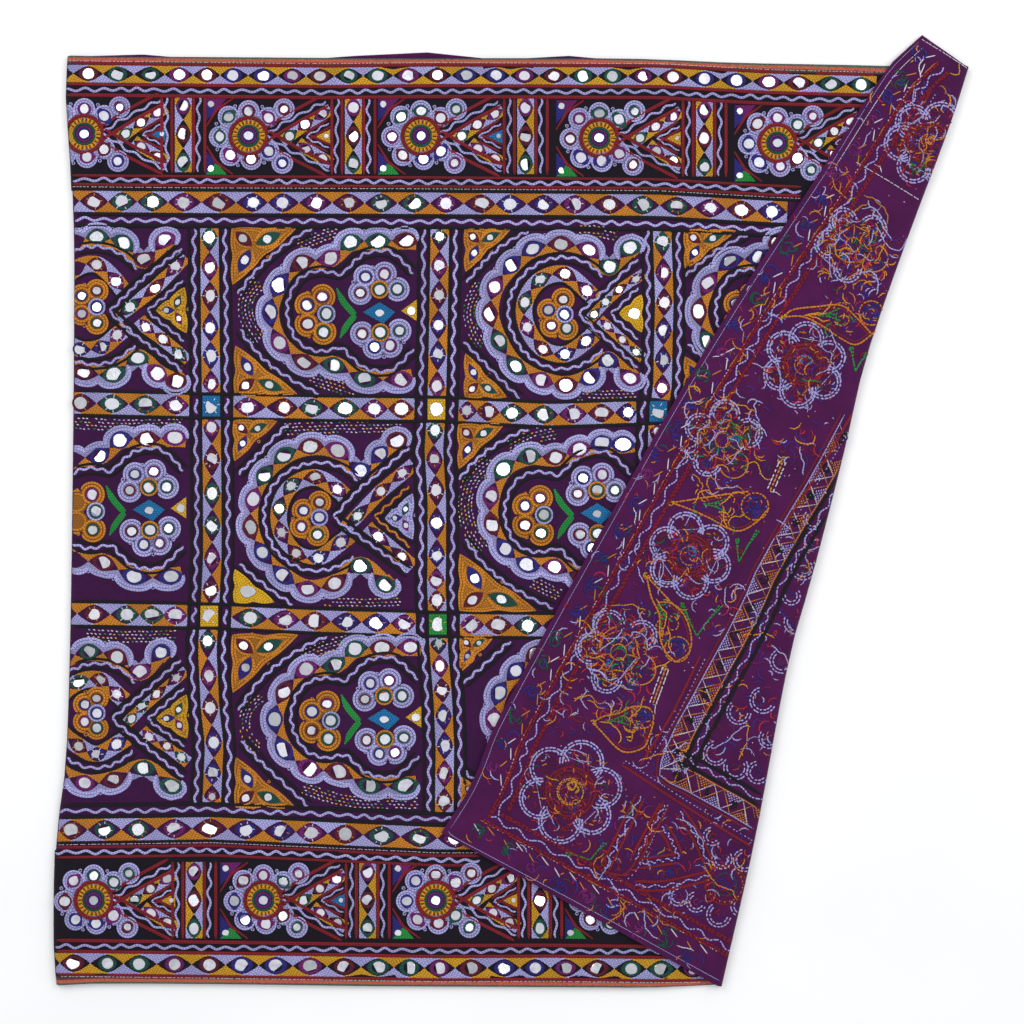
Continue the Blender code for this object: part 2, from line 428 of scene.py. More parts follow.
def refineCloth(name, material):
    source = frame["nodes"][name]
    build = bmesh.new()
    build.from_mesh(source.data)
    bmesh.ops.remove_doubles(build, verts=build.verts, dist=0.00002)
    bmesh.ops.join_triangles(
        build, faces=build.faces, angle_face_threshold=radians(40), angle_shape_threshold=radians(60)
    )
    longEdges = [e for e in build.edges if e.calc_length() > cloths["longEdge"]]
    bmesh.ops.subdivide_edges(build, edges=longEdges, cuts=cloths["cuts"], use_grid_fill=True)
    reverse, across = [], []
    for vert in build.verts:
        x, y, z = vert.co
        reverse.append(1.0 if z > splitHeight(x, y) or foldedUnder(x, z) else 0.0)
        across.append(edgingPlace(name, x, y))
        vert.co.z += pucker(x, y, z)
    bmesh.ops.triangulate(build, faces=[f for f in build.faces if len(f.verts) > 4])
    for edge in build.edges:
        edge.smooth = len(edge.link_faces) == 2 and edge.calc_face_angle(0.0) < radians(50)
    for face in build.faces:
        face.smooth = True
    mesh = bpy.data.meshes.new(name + "_cloth")
    build.to_mesh(mesh)
    build.free()
    mark(mesh, reverse=reverse, across=across)
    mesh.materials.append(material)
    piece = linked(name + "_cloth", mesh)
    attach(piece, "root")
    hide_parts(name)
    return piece


purpleCotton = wovenMaterial("purple cotton", linear(55, 9, 60), linear(80, 13, 74))
blackCotton = wovenMaterial("black cotton", linear(18, 11, 24), linear(26, 17, 34))
ribbon = edgingMaterial("striped ribbon")
groundCloth = refineCloth("ground_cloth", purpleCotton)
borders = [refineCloth(name, blackCotton) for name in ("border_top", "border_bottom", "border_right")]
edgings = [refineCloth(name, ribbon) for name in ("edging_top", "edging_bottom", "edging_right")]


def shootable(pieces):
    verts, faces = [], []
    for piece in pieces:
        start = len(verts)
        verts.extend(v.co.copy() for v in piece.data.vertices)
        faces.extend([start + i for i in p.vertices] for p in piece.data.polygons)
    return BVHTree.FromPolygons(verts, faces)


clothSurface = shootable([groundCloth, *borders, *edgings])
down = Vector((0, 0, -1))


def backHeight(x, y):
    # top of the turned-back part, or nothing where there is none
    hit, normal, _, _ = clothSurface.ray_cast(Vector((x, y, 0.05)), down)
    if hit is None or hit.z < splitHeight(x, y) + 0.0012 or x < -0.1 or normal.z < 0.3:
        return None
    return hit.z


def findTurnedEdge():
    rows = []
    for n in range(-52, 53):
        y = n * 0.01
        found = next((m * 0.003 for m in range(-30, 170) if backHeight(m * 0.003, y) is not None), 0.5)
        outside = found - 0.003
        for _ in range(5):
            middle = (found + outside) / 2
            if found < 0.5 and backHeight(middle, y) is not None:
                found = middle
            else:
                outside = middle
        rows.append((y, found))
    return rows


turnedEdge = findTurnedEdge()


def findLeftEdge():
    rows = []
    for n in range(-102, 99):
        y = n * 0.005
        hits = [clothSurface.ray_cast(Vector((-0.6, y, z)), Vector((1, 0, 0)))[0] for z in (0.003, 0.004, 0.0052)]
        rows.append((y, min([h.x for h in hits if h is not None], default=-0.47)))
    return rows


leftEdge = findLeftEdge()
underFlap = 0.011  # how far the needlework runs on under the turned-back part


def faceHeight(x, y):
    # top of the cloth that lies face up, or nothing outside it
    if x > readTable(turnedEdge, y) + underFlap or x < readTable(leftEdge, y) + 0.0006:
        return None
    hit, normal, _, _ = clothSurface.ray_cast(Vector((x, y, splitHeight(x, y) + 0.0003)), down)
    if hit is None or normal.z < 0.05 or foldedUnder(x, hit.z):
        return None
    return hit.z


print("cloths refined")

# Stitched lines: polylines in mesh form that a node tree turns into raised rows of thread


def nodeTree(name, **inputs):
    tree = bpy.data.node_groups.new(name, "GeometryNodeTree")
    making["tree"] = tree
    for label, kind in (("Geometry", "Geometry"), *inputs.items()):
        tree.interface.new_socket(label, in_out="INPUT", socket_type="NodeSocket" + kind)
    tree.interface.new_socket("Geometry", in_out="OUTPUT", socket_type="NodeSocketGeometry")
    return tree, tree.nodes.new("NodeGroupInput").outputs


def finishTree(tree, geometry, material):
    smooth = add("GeometryNodeSetShadeSmooth", {0: geometry})
    real = add("GeometryNodeRealizeInstances", {0: smooth})
    painted = add("GeometryNodeSetMaterial", {"Geometry": real, "Material": material})
    fillInputs(tree.nodes.new("NodeGroupOutput"), {0: painted})
    return tree


def named(label, kind="FLOAT"):
    return add("GeometryNodeInputNamedAttribute", {"Name": label}, "Attribute", data_type=kind)


def buildLineTree():
    tree, given = nodeTree("stitched line", Sides="Int", Roundness="Float", Thread="Material")
    curve = add("GeometryNodeMeshToCurve", {0: given["Geometry"]})
    curve = add("GeometryNodeSetCurveNormal", {"Curve": curve}, mode="Z_UP")
    halfRound = {"Resolution": plus(given["Sides"], 1.0), "Radius": 0.5, "Start Angle": pi, "Sweep Angle": pi}
    arc = add("GeometryNodeCurveArc", halfRound, "Curve")
    acrossIt = add("ShaderNodeSeparateXYZ", {0: add("GeometryNodeInputPosition")})
    arc = add("GeometryNodeStoreNamedAttribute", {"Geometry": arc, "Name": "across", "Value": acrossIt})
    squash = add("ShaderNodeCombineXYZ", {0: 1.0, 1: given["Roundness"], 2: 1.0})
    arc = add("GeometryNodeTransform", {"Geometry": arc, "Scale": squash})
    sweep = add("GeometryNodeCurveToMesh", {"Curve": curve, "Profile Curve": arc, "Scale": named("width")})
    return finishTree(tree, sweep, given["Thread"])


def buildScatterTree():
    tree, given = nodeTree("set stitches", Shapes="Collection", Finish="Material")
    separate = {0: given["Shapes"], "Separate Children": True, "Reset Children": True}
    points = add("GeometryNodeInstanceOnPoints", {
        "Points": given["Geometry"], "Instance": add("GeometryNodeCollectionInfo", separate), "Pick Instance": True,
        "Instance Index": named("pick", "INT"), "Rotation": named("turn", "FLOAT_VECTOR"),
        "Scale": named("size", "FLOAT_VECTOR"),
    })
    return finishTree(tree, points, given["Finish"])


lineTree = buildLineTree()
scatterTree = buildScatterTree()


def runNodes(piece, tree, inputs):
    # the tree's result as a plain mesh on the same object
    sockets = {s.name: s.identifier for s in tree.interface.items_tree if s.in_out == "INPUT"}
    modifier = piece.modifiers.new("stitches", "NODES")
    modifier.node_group = tree
    for label, value in inputs.items():
        modifier[sockets[label]] = value
    bpy.context.view_layer.update()
    depsgraph = bpy.context.evaluated_depsgraph_get()
    result = bpy.data.meshes.new_from_object(piece.evaluated_get(depsgraph), depsgraph=depsgraph)
    piece.modifiers.remove(modifier)
    old = piece.data
    piece.data = result
    bpy.data.meshes.remove(old)
    result.name = piece.name
    return piece


def dress(piece):
    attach(piece, "root")
    return piece


rng = random.Random(41)
between, oneOf = rng.uniform, rng.choice
lineStore = {}  # thread and side -> runs of (point, width), one list for each line
patchStore = {}  # thread and side -> grids of (point, along, across)
pointStore = {}  # kind and colour -> (place, turn, size, pick, tarnish and painted dim reflection)
layers = {"face": faceHeight, "back": backHeight}


def runsOnCloth(points, layer, lift):
    # the parts of a drawn line that lie on the cloth, as points in space
    height = layers[layer]
    runs, run = [], []
    for x, y in points:
        wx, wy = onCloth(x, y)
        z = height(wx, wy)
        if z is None:
            if len(run) > 1:
                runs.append(run)
            run = []
        else:
            run.append(Vector((wx, wy, z + lift)))
    if len(run) > 1:
        runs.append(run)
    return runs


def sew(thread, points, width, lift=-0.15, layer="face"):
    # a raised line; widths in drawing units, lift in millimetres
    for run in runsOnCloth(points, layer, lift * 0.001):
        lineStore.setdefault((thread, layer), []).append((run, width * unit, between(0.86, 1.1)))


def makeLines(key, material):
    verts, edges, widths, alongs, shades = [], [], [], [], []
    for run, width, shade in lineStore[key]:
        start, along = len(verts), between(0, 0.01)
        for n, point in enumerate(run):
            if n:
                along += (point - run[n - 1]).length
                edges.append((start + n - 1, start + n))
            verts.append(point)
            widths.append(width * (0.45 if n in (0, len(run) - 1) else 1.0))
            alongs.append(along)
            shades.append(shade)
    mesh = meshFrom("lines", verts, edges, width=widths, along=alongs, shade=shades)
    piece = linked("rows_" + "_".join(key), mesh)
    runNodes(piece, lineTree, {"Sides": 4, "Roundness": 0.75, "Thread": material})
    return dress(piece)


rowWide = 2.2  # of one row of filling stitches, in drawing units


def fill(thread, near, far, rows=2, dome=0.45, lift=0.35, shade=1.0):
    # filling stitches between two drawn lines of as many points; a shade below 1 is painted shade, darker where the
    # filling shows in the gaps between rows sewn over it
    grid, along, last = [], 0.0, None
    for (x0, y0), (x1, y1) in zip(near, far):
        middle = Vector(((x0 + x1) / 2, (y0 + y1) / 2))
        along += (middle - last).length * unit if last else 0.0
        last = middle
        width = hypot(x1 - x0, y1 - y0)
        column = []
        for n in range(rows + 1):
            t = n / rows
            wx, wy = onCloth(mix(x0, x1, t), mix(y0, y1, t))
            z = faceHeight(wx, wy)
            inEdge = readTable(leftEdge, wy) + 0.0012
            if z is None and -0.53 < wx < inEdge:
                wx, z = inEdge, faceHeight(inEdge, wy)
            bulge = dome * 4 * t * (1 - t) * min(width / 8, 1.0)
            place = None if z is None else Vector((wx, wy, z + (lift + bulge) * 0.001))
            column.append((place, along, (t - 0.5) * width / rowWide))
        grid.append(column)
    patchStore.setdefault((thread, "face"), []).append((grid, shade * between(0.88, 1.08)))


def makePatches(key, material):
    verts, faces, alongs, acrosses, shades = [], [], [], [], []
    for grid, shade in patchStore[key]:
        index = {}
        for a, column in enumerate(grid):
            for b, (place, along, across) in enumerate(column):
                if place is not None:
                    index[a, b] = len(verts)
                    verts.append(place)
                    alongs.append(along)
                    acrosses.append(across)
                    shades.append(shade)
        for a in range(len(grid) - 1):
            for b in range(len(grid[0]) - 1):
                corners = [(a, b), (a + 1, b), (a + 1, b + 1), (a, b + 1)]
                if all(c in index for c in corners):
                    faces.append([index[c] for c in corners])
    mesh = meshFrom("patches", verts, faces=faces, along=alongs, across=acrosses, shade=shades)
    build = bmesh.new()
    build.from_mesh(mesh)
    bmesh.ops.dissolve_degenerate(build, edges=build.edges, dist=0.00001)
    for face in build.faces:
        face.normal_update()
        if face.normal.z < 0:
            face.normal_flip()
        face.smooth = True
    build.to_mesh(mesh)
    build.free()
    mesh.materials.append(material)
    return dress(linked("filling_" + "_".join(key), mesh))


def setShape(kind, x, y, turn, size, tilt=(0, 0), pick=0, tarnish=0.0, lift=0.0, layer="face"):
    wx, wy = onCloth(x, y)
    z = layers[layer](wx, wy)
    if z is None:
        return False
    if layer == "face" and wx - readTable(leftEdge, wy) < size[0] * 1.1:
        return False
    pointStore.setdefault(kind, []).append(
        (Vector((wx, wy, z + lift * 0.001)), (tilt[0], tilt[1], turn), size, pick, tarnish)
    )
    return True


def shapeSet(name, meshes):
    group = bpy.data.collections.new(name)
    for n, mesh in enumerate(meshes):
        group.objects.link(bpy.data.objects.new(f"{name}{n}", mesh))
    return group


def makeShapes(kind, name, shapes, material):
    rows = pointStore[kind]
    mesh = meshFrom(name, [r[0] for r in rows])
    for label, column in (("turn", 1), ("size", 2)):
        flat = [v for r in rows for v in r[column]]
        mesh.attributes.new(label, "FLOAT_VECTOR", "POINT").data.foreach_set("vector", flat)
    mesh.attributes.new("pick", "INT", "POINT").data.foreach_set("value", [r[3] for r in rows])
    mark(mesh, tarnish=[r[4] for r in rows])
    piece = linked(name, mesh)
    runNodes(piece, scatterTree, {"Shapes": shapes, "Finish": material})
    return dress(piece)


mirrors = {
    "corners": 14,
    "kinds": 5,
    "tilt": 0.12,
    "height": 0.5,  # mm over the cloth
    "rim": (0.95, 0.02, -0.03),  # the flat top's share of the radius, its height, and the foot's
    "ringHeight": 1.2,
    "ringSections": ((0.90, 0.25), (1.0, 0.75), (1.192, 0.8), (1.32, 0.1)),  # of the radius, and of the height
    "ringPoints": (0.0, 0.28, 0.5),
}


def mirrorShapes():
    # thin discs cut by hand, radius 1, their rims eased
    made = []
    top, high, low = mirrors["rim"]
    count = mirrors["corners"]
    for kind in range(mirrors["kinds"]):
        shape = random.Random(kind + 3)
        squareness, start = shape.uniform(0.0, 0.09), shape.uniform(0, 6)
        outline = []
        for n in range(count):
            angle = 2 * pi * n / count
            radius = 1 + squareness * cos(4 * angle + start) + 0.035 * sin(3 * angle + start)
            radius += shape.uniform(-0.02, 0.02)
            outline.append((radius * cos(angle), radius * sin(angle)))
        rim = [(x * top, y * top, high) for x, y in outline]
        verts = [(x, y, low) for x, y in outline] + rim + rim  # the flat top has a rim of its own
        faces = [(n, (n + 1) % count, count + (n + 1) % count, count + n) for n in range(count)]
        made.append(meshFrom("mirror", verts, faces=faces + [tuple(range(2 * count, 3 * count))]))
    return made


def ringShapes():
    # thread worked round the rim, radius 1 inside, a low half round; it runs out to points on two sides
    made = []
    for pointed in mirrors["ringPoints"]:
        count = mirrors["corners"]
        verts, alongs, acrosses = [], [], []
        for n in range(count):
            angle = 2 * pi * n / count
            point = abs(cos(angle)) ** 6 * pointed
            for m, (radius, height) in enumerate(mirrors["ringSections"]):
                out = radius + (point * (m / 3) if m > 1 else 0.0)
                verts.append((out * cos(angle), out * sin(angle), height))
                alongs.append(angle * 0.0072)
                acrosses.append((m / 3 - 0.5) * 1.7)
        faces = [(a * 4 + m, a * 4 + m + 1, b * 4 + m + 1, b * 4 + m)
                 for a, b in ((n, (n + 1) % count) for n in range(count)) for m in range(3)]
        made.append(meshFrom("ring", verts, faces=faces, along=alongs, across=acrosses, shade=[1.0] * len(verts)))
    return made


def stitchShapes():
    # one short stitch along x, length 1, a half-round bump sinking at both ends
    verts = []
    for x, width, height in ((-0.5, 0.25, -0.1), (-0.28, 0.5, 0.8), (0.28, 0.5, 0.8), (0.5, 0.25, -0.1)):
        for y, z in ((-width, -0.2), (-width * 0.5, height * 0.8), (width * 0.5, height * 0.8), (width, -0.2)):
            verts.append((x, y, z))
    faces = [(a * 4 + b, a * 4 + 4 + b, a * 4 + 5 + b, a * 4 + 1 + b) for a in range(3) for b in range(3)]
    columns = {"along": 0.0015, "across": 0.35, "shade": 1.0}
    return [meshFrom("stitch", verts, faces=faces, **{label: [value] * 16 for label, value in columns.items()})]


def stitch(thread, x, y, turn, length, width, lift, layer="face"):
    size = (length * unit, width * unit, width * unit * 0.8)
    setShape(("stitch", thread, layer), x, y, turn, size, lift=lift, layer=layer)


ringCycle = ("magenta", "green", "blue", "maroon", "magenta", "blue", "green", "maroon")


def mirror(x, y, radius, ring, turn=0.0, stretch=1.0, ties=None, pointed=1, lift=0.0):
    # a mirror with its thread ring, and the tie stitches that hold it, if they show
    oval = stretch * between(0.94, 1.08)
    size = (radius * oval * unit, radius / oval * unit, radius * unit)
    tilt = (rng.gauss(0, mirrors["tilt"]), rng.gauss(0, mirrors["tilt"]))
    spin = turn + between(-0.15, 0.15)
    # greyer silvering on some mirrors at random: tarnish, and painted dim reflection for mirrors that would mirror the
    # grey room
    tarnish = oneOf((0.0, 0.0, 0.0, 0.1, 0.25, 0.45))
    kind = rng.randrange(mirrors["kinds"])
    if not setShape(("mirror",), x, y, spin, size, tilt, kind, tarnish, mirrors["height"] + lift):
        return
    if ring:
        wx, wy = onCloth(x, y)
        if wx - readTable(leftEdge, wy) < radius * 1.6 * unit:
            pointed = 0
        high = (size[0], size[1], mirrors["ringHeight"] * 0.001)
        setShape(("ring", ring), x, y, turn, high, (0, 0), pointed, 0.0, 0.1 + lift)
    if ties:
        for n in range(5):
            angle = turn + n * pi * 0.4 + between(-0.35, 0.35)
            stitch(ties, *polar(x, y, radius * 1.12, angle), angle, between(2.2, 3.4), 0.9, 1.0 + lift)


print("stitching tools ready")


class Path:
    # a drawn line that can be read by its length, with places off to its left side (positive)
    def __init__(self, points):
        self.points = [Vector(p) for p in points]
        self.lengths = [0.0]
        for a, b in zip(self.points, self.points[1:]):
            self.lengths.append(self.lengths[-1] + (b - a).length)
        self.length = self.lengths[-1]

    def segment(self, s):
        low, high = 0, len(self.points) - 2
        while low < high:
            middle = (low + high + 1) // 2
            if self.lengths[middle] <= s:
                low = middle
            else:
                high = middle - 1
        return low

    def direction(self, s):
        reach = 2.0
        a, b = self.plain(s - reach), self.plain(s + reach)
        d = b - a
        return d.normalized() if d.length > 1e-6 else Vector((1, 0))

    def plain(self, s):
        n = self.segment(min(max(s, 0.0), self.length))
        a, b = self.points[n], self.points[n + 1]
        span = self.lengths[n + 1] - self.lengths[n]
        return a + (b - a) * ((s - self.lengths[n]) / span if span else 0.0)

    def at(self, s, off=0.0):
        point = self.plain(s)
        if off:
            d = self.direction(s)
            point = point + Vector((d.y, -d.x)) * off
        return point.x, point.y

    def turn(self, s):
        d = self.direction(s)
        return atan2(-d.y, d.x)

    def find(self, x, y):
        best, place = 1e9, 0.0
        for n, (a, b) in enumerate(zip(self.points, self.points[1:])):
            d = b - a
            t = min(max((Vector((x, y)) - a).dot(d) / max(d.length_squared, 1e-9), 0.0), 1.0)
            gap = (a + d * t - Vector((x, y))).length
            if gap < best:
                best, place = gap, self.lengths[n] + d.length * t
        return place

    def run(self, start, end, off, step=5.0):
        count = max(2, int(abs(end - start) / step) + 1)
        return [self.at(mix(start, end, n / (count - 1)), off) for n in range(count)]


def curveThrough(points, step=3.0):
    # a smooth line through a few drawn points
    points = [Vector(p) for p in points]
    ends = [points[0] * 2 - points[1]] + points + [points[-1] * 2 - points[-2]]
    line = [points[0]]
    for n in range(1, len(ends) - 2):
        p0, p1, p2, p3 = ends[n - 1:n + 3]
        square, cube = 2 * p0 - 5 * p1 + 4 * p2 - p3, 3 * p1 - p0 - 3 * p2 + p3
        count = max(2, int((p2 - p1).length / step))
        for m in range(1, count + 1):
            t = m / count
            line.append(0.5 * ((2 * p1) + (p2 - p0) * t + square * t * t + cube * t ** 3))
    return [(p.x, p.y) for p in line]


squiggles = {"length": 17.4, "swing": 1.55, "width": 3.0}


def squiggle(path, start, end, off, thread="lilac", swing=None, length=None, width=None):
    swing, length = swing or squiggles["swing"], length or squiggles["length"]
    waves = max(1, round(abs(end - start) / length))
    count = waves * 8
    wobble = between(0, 6)
    points = []
    for n in range(count + 1):
        s = mix(start, end, n / count)
        lean = swing * (1 + 0.28 * sin(n * 0.31 + wobble))
        drift = 0.45 * sin(n * 0.11 + wobble * 2)
        points.append(path.at(s, off + drift + lean * sin(2 * pi * n / 8 + wobble * 0.1 + 0.5 * sin(n * 0.17))))
    sew(thread, points, width or squiggles["width"])


eyes = {
    "reach": 0.90,  # of the band's half width
    "power": 1.55,
}


def lensHeight(u):
    return max(1.0 - abs(u) ** eyes["power"], 0.0)


def sideRun(s0, tip, s1):
    # samples from one eye's middle over the tip that it shares to the next eye's middle
    first = [(mix(s0, tip, t), t) for t in (0.0, 0.25, 0.5, 0.75, 0.9)]
    second = [(mix(tip, s1, t), 1 - t) for t in (0.0, 0.1, 0.25, 0.5, 0.75, 1.0)]
    return first + second


def eyeBand(path, places, half, sides, start=None, end=None, ties=None, size=0.58, first=0):
    # eyes along a path, tip to tip, with triangles of filling stitches to both edges
    places = sorted(places)
    start = places[0] - (places[1] - places[0]) / 2 if start is None else start
    end = places[-1] + (places[-1] - places[-2]) / 2 if end is None else end
    tips = [start] + [(a + b) / 2 for a, b in zip(places, places[1:])] + [end]
    reach = half * eyes["reach"]
    for n, tip in enumerate(tips):
        s0 = places[n - 1] if n else tip
        s1 = places[n] if n < len(places) else tip
        samples = sideRun(s0, tip, s1)
        for side, threads in zip((1, -1), sides):
            near = [path.at(s, side * reach * lensHeight(u)) for s, u in samples]
            far = [path.at(s, side * half) for s, u in samples]
            fill(threads[(n + first) % len(threads)], near, far)
    for n, s in enumerate(places):
        x, y = path.at(s)
        room = min(s - tips[n], tips[n + 1] - s)
        radius = min(half * size, room * 0.62) * between(0.92, 1.08)
        tie = ties[(n + first) % len(ties)] if ties else None
        mirror(x, y, radius, ringCycle[(n * 3 + first) % len(ringCycle)], path.turn(s), 1.05, tie)


# The net of bands: heights of the rows at x, and places of the columns at y, on the drawing

net = {
    "rows": {
        "outerTop": [(75, 75.4), (212, 76.8), (325, 78), (438, 77), (660, 78), (770, 83.5), (861, 86)],
        "innerTop": [(75, 202.5), (212, 203.6), (438, 204.6), (550, 205.5), (660, 206.5), (770, 212.4), (861, 216)],
        "second": [(75, 403.6), (212, 406.8), (325, 409), (438, 410), (550, 415.5), (660, 412)],
        "third": [(75, 614), (212, 616.3), (325, 621.5), (438, 624.6), (550, 626), (660, 624)],
        "innerBottom": [(60, 830), (212, 828), (325, 833), (438, 838), (520, 838)],
        "outerBottom": [(58, 962), (212, 964), (325, 965.6), (438, 967.5), (550, 967), (660, 968.4)],
    },
    "columns": {
        "a": [(228, 210), (330, 211), (407, 212), (500, 213), (560, 213), (617, 210), (650, 208), (710, 211),
              (745, 215), (797, 212.5)],
        "b": [(238, 440), (300, 439), (356, 438), (410, 436.6), (450, 434), (500, 437), (556, 437), (585, 436.5),
              (650, 439), (700, 443), (745, 445), (800, 444.5)],
        "c": [(242, 662), (300, 664), (391, 662), (412, 658), (470, 656)],
    },
    "left": 48.0,
}


def columnX(name, y):
    return readTable(net["columns"][name], y)


def rowY(name, x):
    return readTable(net["rows"][name], x)


def rowPath(name, right):
    count = int((right - net["left"]) / 12) + 1
    xs = [mix(net["left"], right, n / count) for n in range(count + 1)]
    return Path(curveThrough([(x, rowY(name, x)) for x in xs], 6.0))


def columnPath(name, top, bottom):
    count = int((bottom - top) / 14) + 1
    ys = [mix(top, bottom, n / count) for n in range(count + 1)]
    return Path(curveThrough([(columnX(name, y), y) for y in ys], 6.0))


print("drawing tools ready")

bands = {
    "outerTop": {
        "half": 8.6, "right": 885, "threads": bothWays("gold", "lilac"), "ties": None, "size": 0.66,
        "eyes": (60, 89.6, 118.7, 151.6, 180, 208, 233.8, 264, 292.9, 320.4, 349.3, 378, 409, 437.8, 466, 495.9, 524.4,
                 553.5, 583, 612.3, 643, 672.5, 704.2, 736, 768.4, 798, 829.9, 860.6),
        "lines": ((10.2, "red", 3.2), (-10.4, "red", 3.4), (-21.4, "red", 4.0)), "squiggles": (-15.7,), "dashes": 12.6,
    },
    "innerTop": {
        "half": 10.6, "right": 800, "threads": bothWays("lilac", "orange"), "ties": ("white", "orange"),
        "size": 0.6,
        "eyes": (66, 95.5, 122.9, 153, 184.5, 220, 253.6, 283, 316.5, 348.7, 381.4, 414.3, 446, 481.6, 509.7, 543.8,
                 574.6, 608.9, 642.3, 676.4, 710, 741.4, 771.7),
        "lines": ((12.2, "black", 2.6), (16.6, "red", 3.4), (25.6, "red", 3.0), (-12.6, "black", 3.8),
                  (-24.2, "black", 4.0)),
        "squiggles": (21.1, -18.3), "dashes": 14.3,
    },
    "innerBottom": {
        "half": 11.0, "right": 480, "threads": bothWays("orange", "lilac"), "ties": ("white", "orange"),
        "size": 0.6,
        "eyes": (40, 72.3, 105.4, 139.3, 175, 210.7, 246.4, 281.7, 311, 345.8, 381.5, 420, 455),
        "lines": ((13.0, "black", 3.8), (24.6, "black", 4.0), (-12.4, "black", 2.6), (-17.2, "red", 3.4),
                  (-26.8, "red", 3.0)),
        "squiggles": (18.7, -22.0), "dashes": -14.4,
    },
    "outerBottom": {
        "half": 10.0, "right": 700, "threads": bothWays("lilac", "gold"), "ties": None, "size": 0.64,
        "eyes": (42, 74.6, 108.7, 140.4, 175.4, 210, 242.6, 276.6, 310.7, 344.6, 378.6, 409.6, 439.4, 470.9, 504.3, 535,
                 565.4, 597.4, 630.8, 661, 692),
        "lines": ((-11.3, "red", 3.0), (11.8, "red", 3.4), (22.6, "red", 4.0)), "squiggles": (17.1,), "dashes": -13.4,
    },
}


def edgeLine(thread, path, off, width, start=0.0, end=None):
    sew(thread, path.run(start, path.length if end is None else end, off), width, lift=-0.05)


def runningLine(thread, path, start, end, off, pitch, length, width, layer="face"):
    # small straight stitches, one after another along a line
    count = int(abs(end - start) / pitch)
    for n in range(count):
        s = mix(start, end, (n + between(0.3, 0.7)) / max(count, 1))
        x, y = path.at(s, off)
        stitch(thread, x, y, path.turn(s) + between(-0.15, 0.15), length * between(0.8, 1.2), width, 0.35, layer)


for name, band in bands.items():
    path = rowPath(name, band["right"])
    places = [path.find(x, rowY(name, x)) for x in band["eyes"]]
    eyeBand(path, places, band["half"], band["threads"], ties=band["ties"], size=band["size"])
    for off, thread, width in band["lines"]:
        edgeLine(thread, path, off, width)
    for off in band["squiggles"]:
        squiggle(path, 0, path.length, off)
    runningLine("white", path, 0, path.length, band["dashes"], pitch=3.6, length=2.6, width=0.55)

print("row bands sewn")

columns = {
    "half": 9.2,
    "threads": bothWays("lilac", "orange"),
    "lines": (10.9, 20.4),
    "squiggle": 15.6,
    "outside": 22.0,
    "eyes": {
        "a": ((238.4, 267.9, 297, 328.7, 356.8, 384.9), (428.2, 460.4, 493.8, 526, 559.5, 590.3),
              (640.9, 676.3, 707.9, 742.2, 773.5, 796.3)),
        "b": ((237.6, 267.1, 296, 326, 355.5, 387.6), (430.9, 460.4, 491.2, 523.3, 555.5, 580.4, 600.5),
              (643.8, 666, 689.7, 715.9, 745.9, 773.5, 801.5)),
        "c": ((243, 273.8, 303.2, 331.4, 360.8, 388.8), (432, 460), ()),
    },
    "stretches": (("innerTop", "second"), ("second", "third"), ("third", "innerBottom")),
    "room": {"innerTop": (25.4, 0), "second": (12.6, 12.2), "third": (12.6, 12.2), "innerBottom": (0, 25.6)},
    "rows": {"second": 10.6, "third": 10.6},
    "rowEyes": {
        "second": ((50, 82, 113, 146.4, 177), (248.2, 285, 312.5, 346, 374.7, 401.7),
                   (467, 487.5, 512, 543.8, 572.9, 601.4, 628)),
        "third": ((62, 95, 127.7, 153, 176), (251, 285.7, 315.7, 346.8, 377, 405), (471, 498, 527.7, 557)),
    },
    "squares": (("second", "a", "sky"), ("second", "b", "yellow"), ("second", "c", "sky"), ("third", "a", "yellow"),
                ("third", "b", "leaf")),
}


def sewColumns():
    for name, stretches in columns["eyes"].items():
        for (above, below), places in zip(columns["stretches"], stretches):
            if not places:
                continue
            x = columnX(name, places[0])
            top = rowY(above, x) + columns["room"][above][0]
            bottom = rowY(below, x) - columns["room"][below][1]
            path = columnPath(name, top, min(bottom, 480) if name == "c" and above == "second" else bottom)
            seats = [path.find(columnX(name, y), y) for y in places]
            eyeBand(path, seats, columns["half"], columns["threads"], 0.0, path.length, ties=("orange", "white"),
                    size=0.62, first=rng.randrange(2))
    for name, bottom in (("a", 806), ("b", 812), ("c", 480)):
        path = columnPath(name, 229, bottom)
        for side in (-1, 1):
            for off in columns["lines"]:
                edgeLine("black", path, side * off, 3.3)
            cuts = [0.0]
            for row in ("second", "third"):
                y = rowY(row, columnX(name, 400))
                if y < bottom:
                    cuts += [y - 229 - 12.5, y - 229 - 8.5, y - 229 + 8.5, y - 229 + 12.5]
            cuts.append(path.length)
            for start, end in zip(cuts[::2], cuts[1::2]):
                squiggle(path, start + 1, end - 1, side * columns["squiggle"])


def sewCrossRows():
    for name, stretches in columns["rowEyes"].items():
        path = rowPath(name, 660 if name == "second" else 560)
        a, b, out = columnX("a", rowY(name, 200)), columnX("b", rowY(name, 430)), columns["outside"]
        gaps = [(0.0, a - out), (a + out, b - out), (b + out, (columnX("c", 412) - out) if name == "second" else 560)]
        for (x0, x1), eyesHere in zip(gaps, stretches):
            start, end = path.find(x0, rowY(name, x0)) if x0 else 0.0, path.find(x1, rowY(name, x1))
            seats = [path.find(x, rowY(name, x)) for x in eyesHere]
            eyeBand(path, seats, columns["rows"][name], columns["threads"], start, end, ties=("white", "orange"),
                    size=0.62, first=rng.randrange(2))
        for off in (12.2, -12.2):
            edgeLine("black", path, off, 3.6)


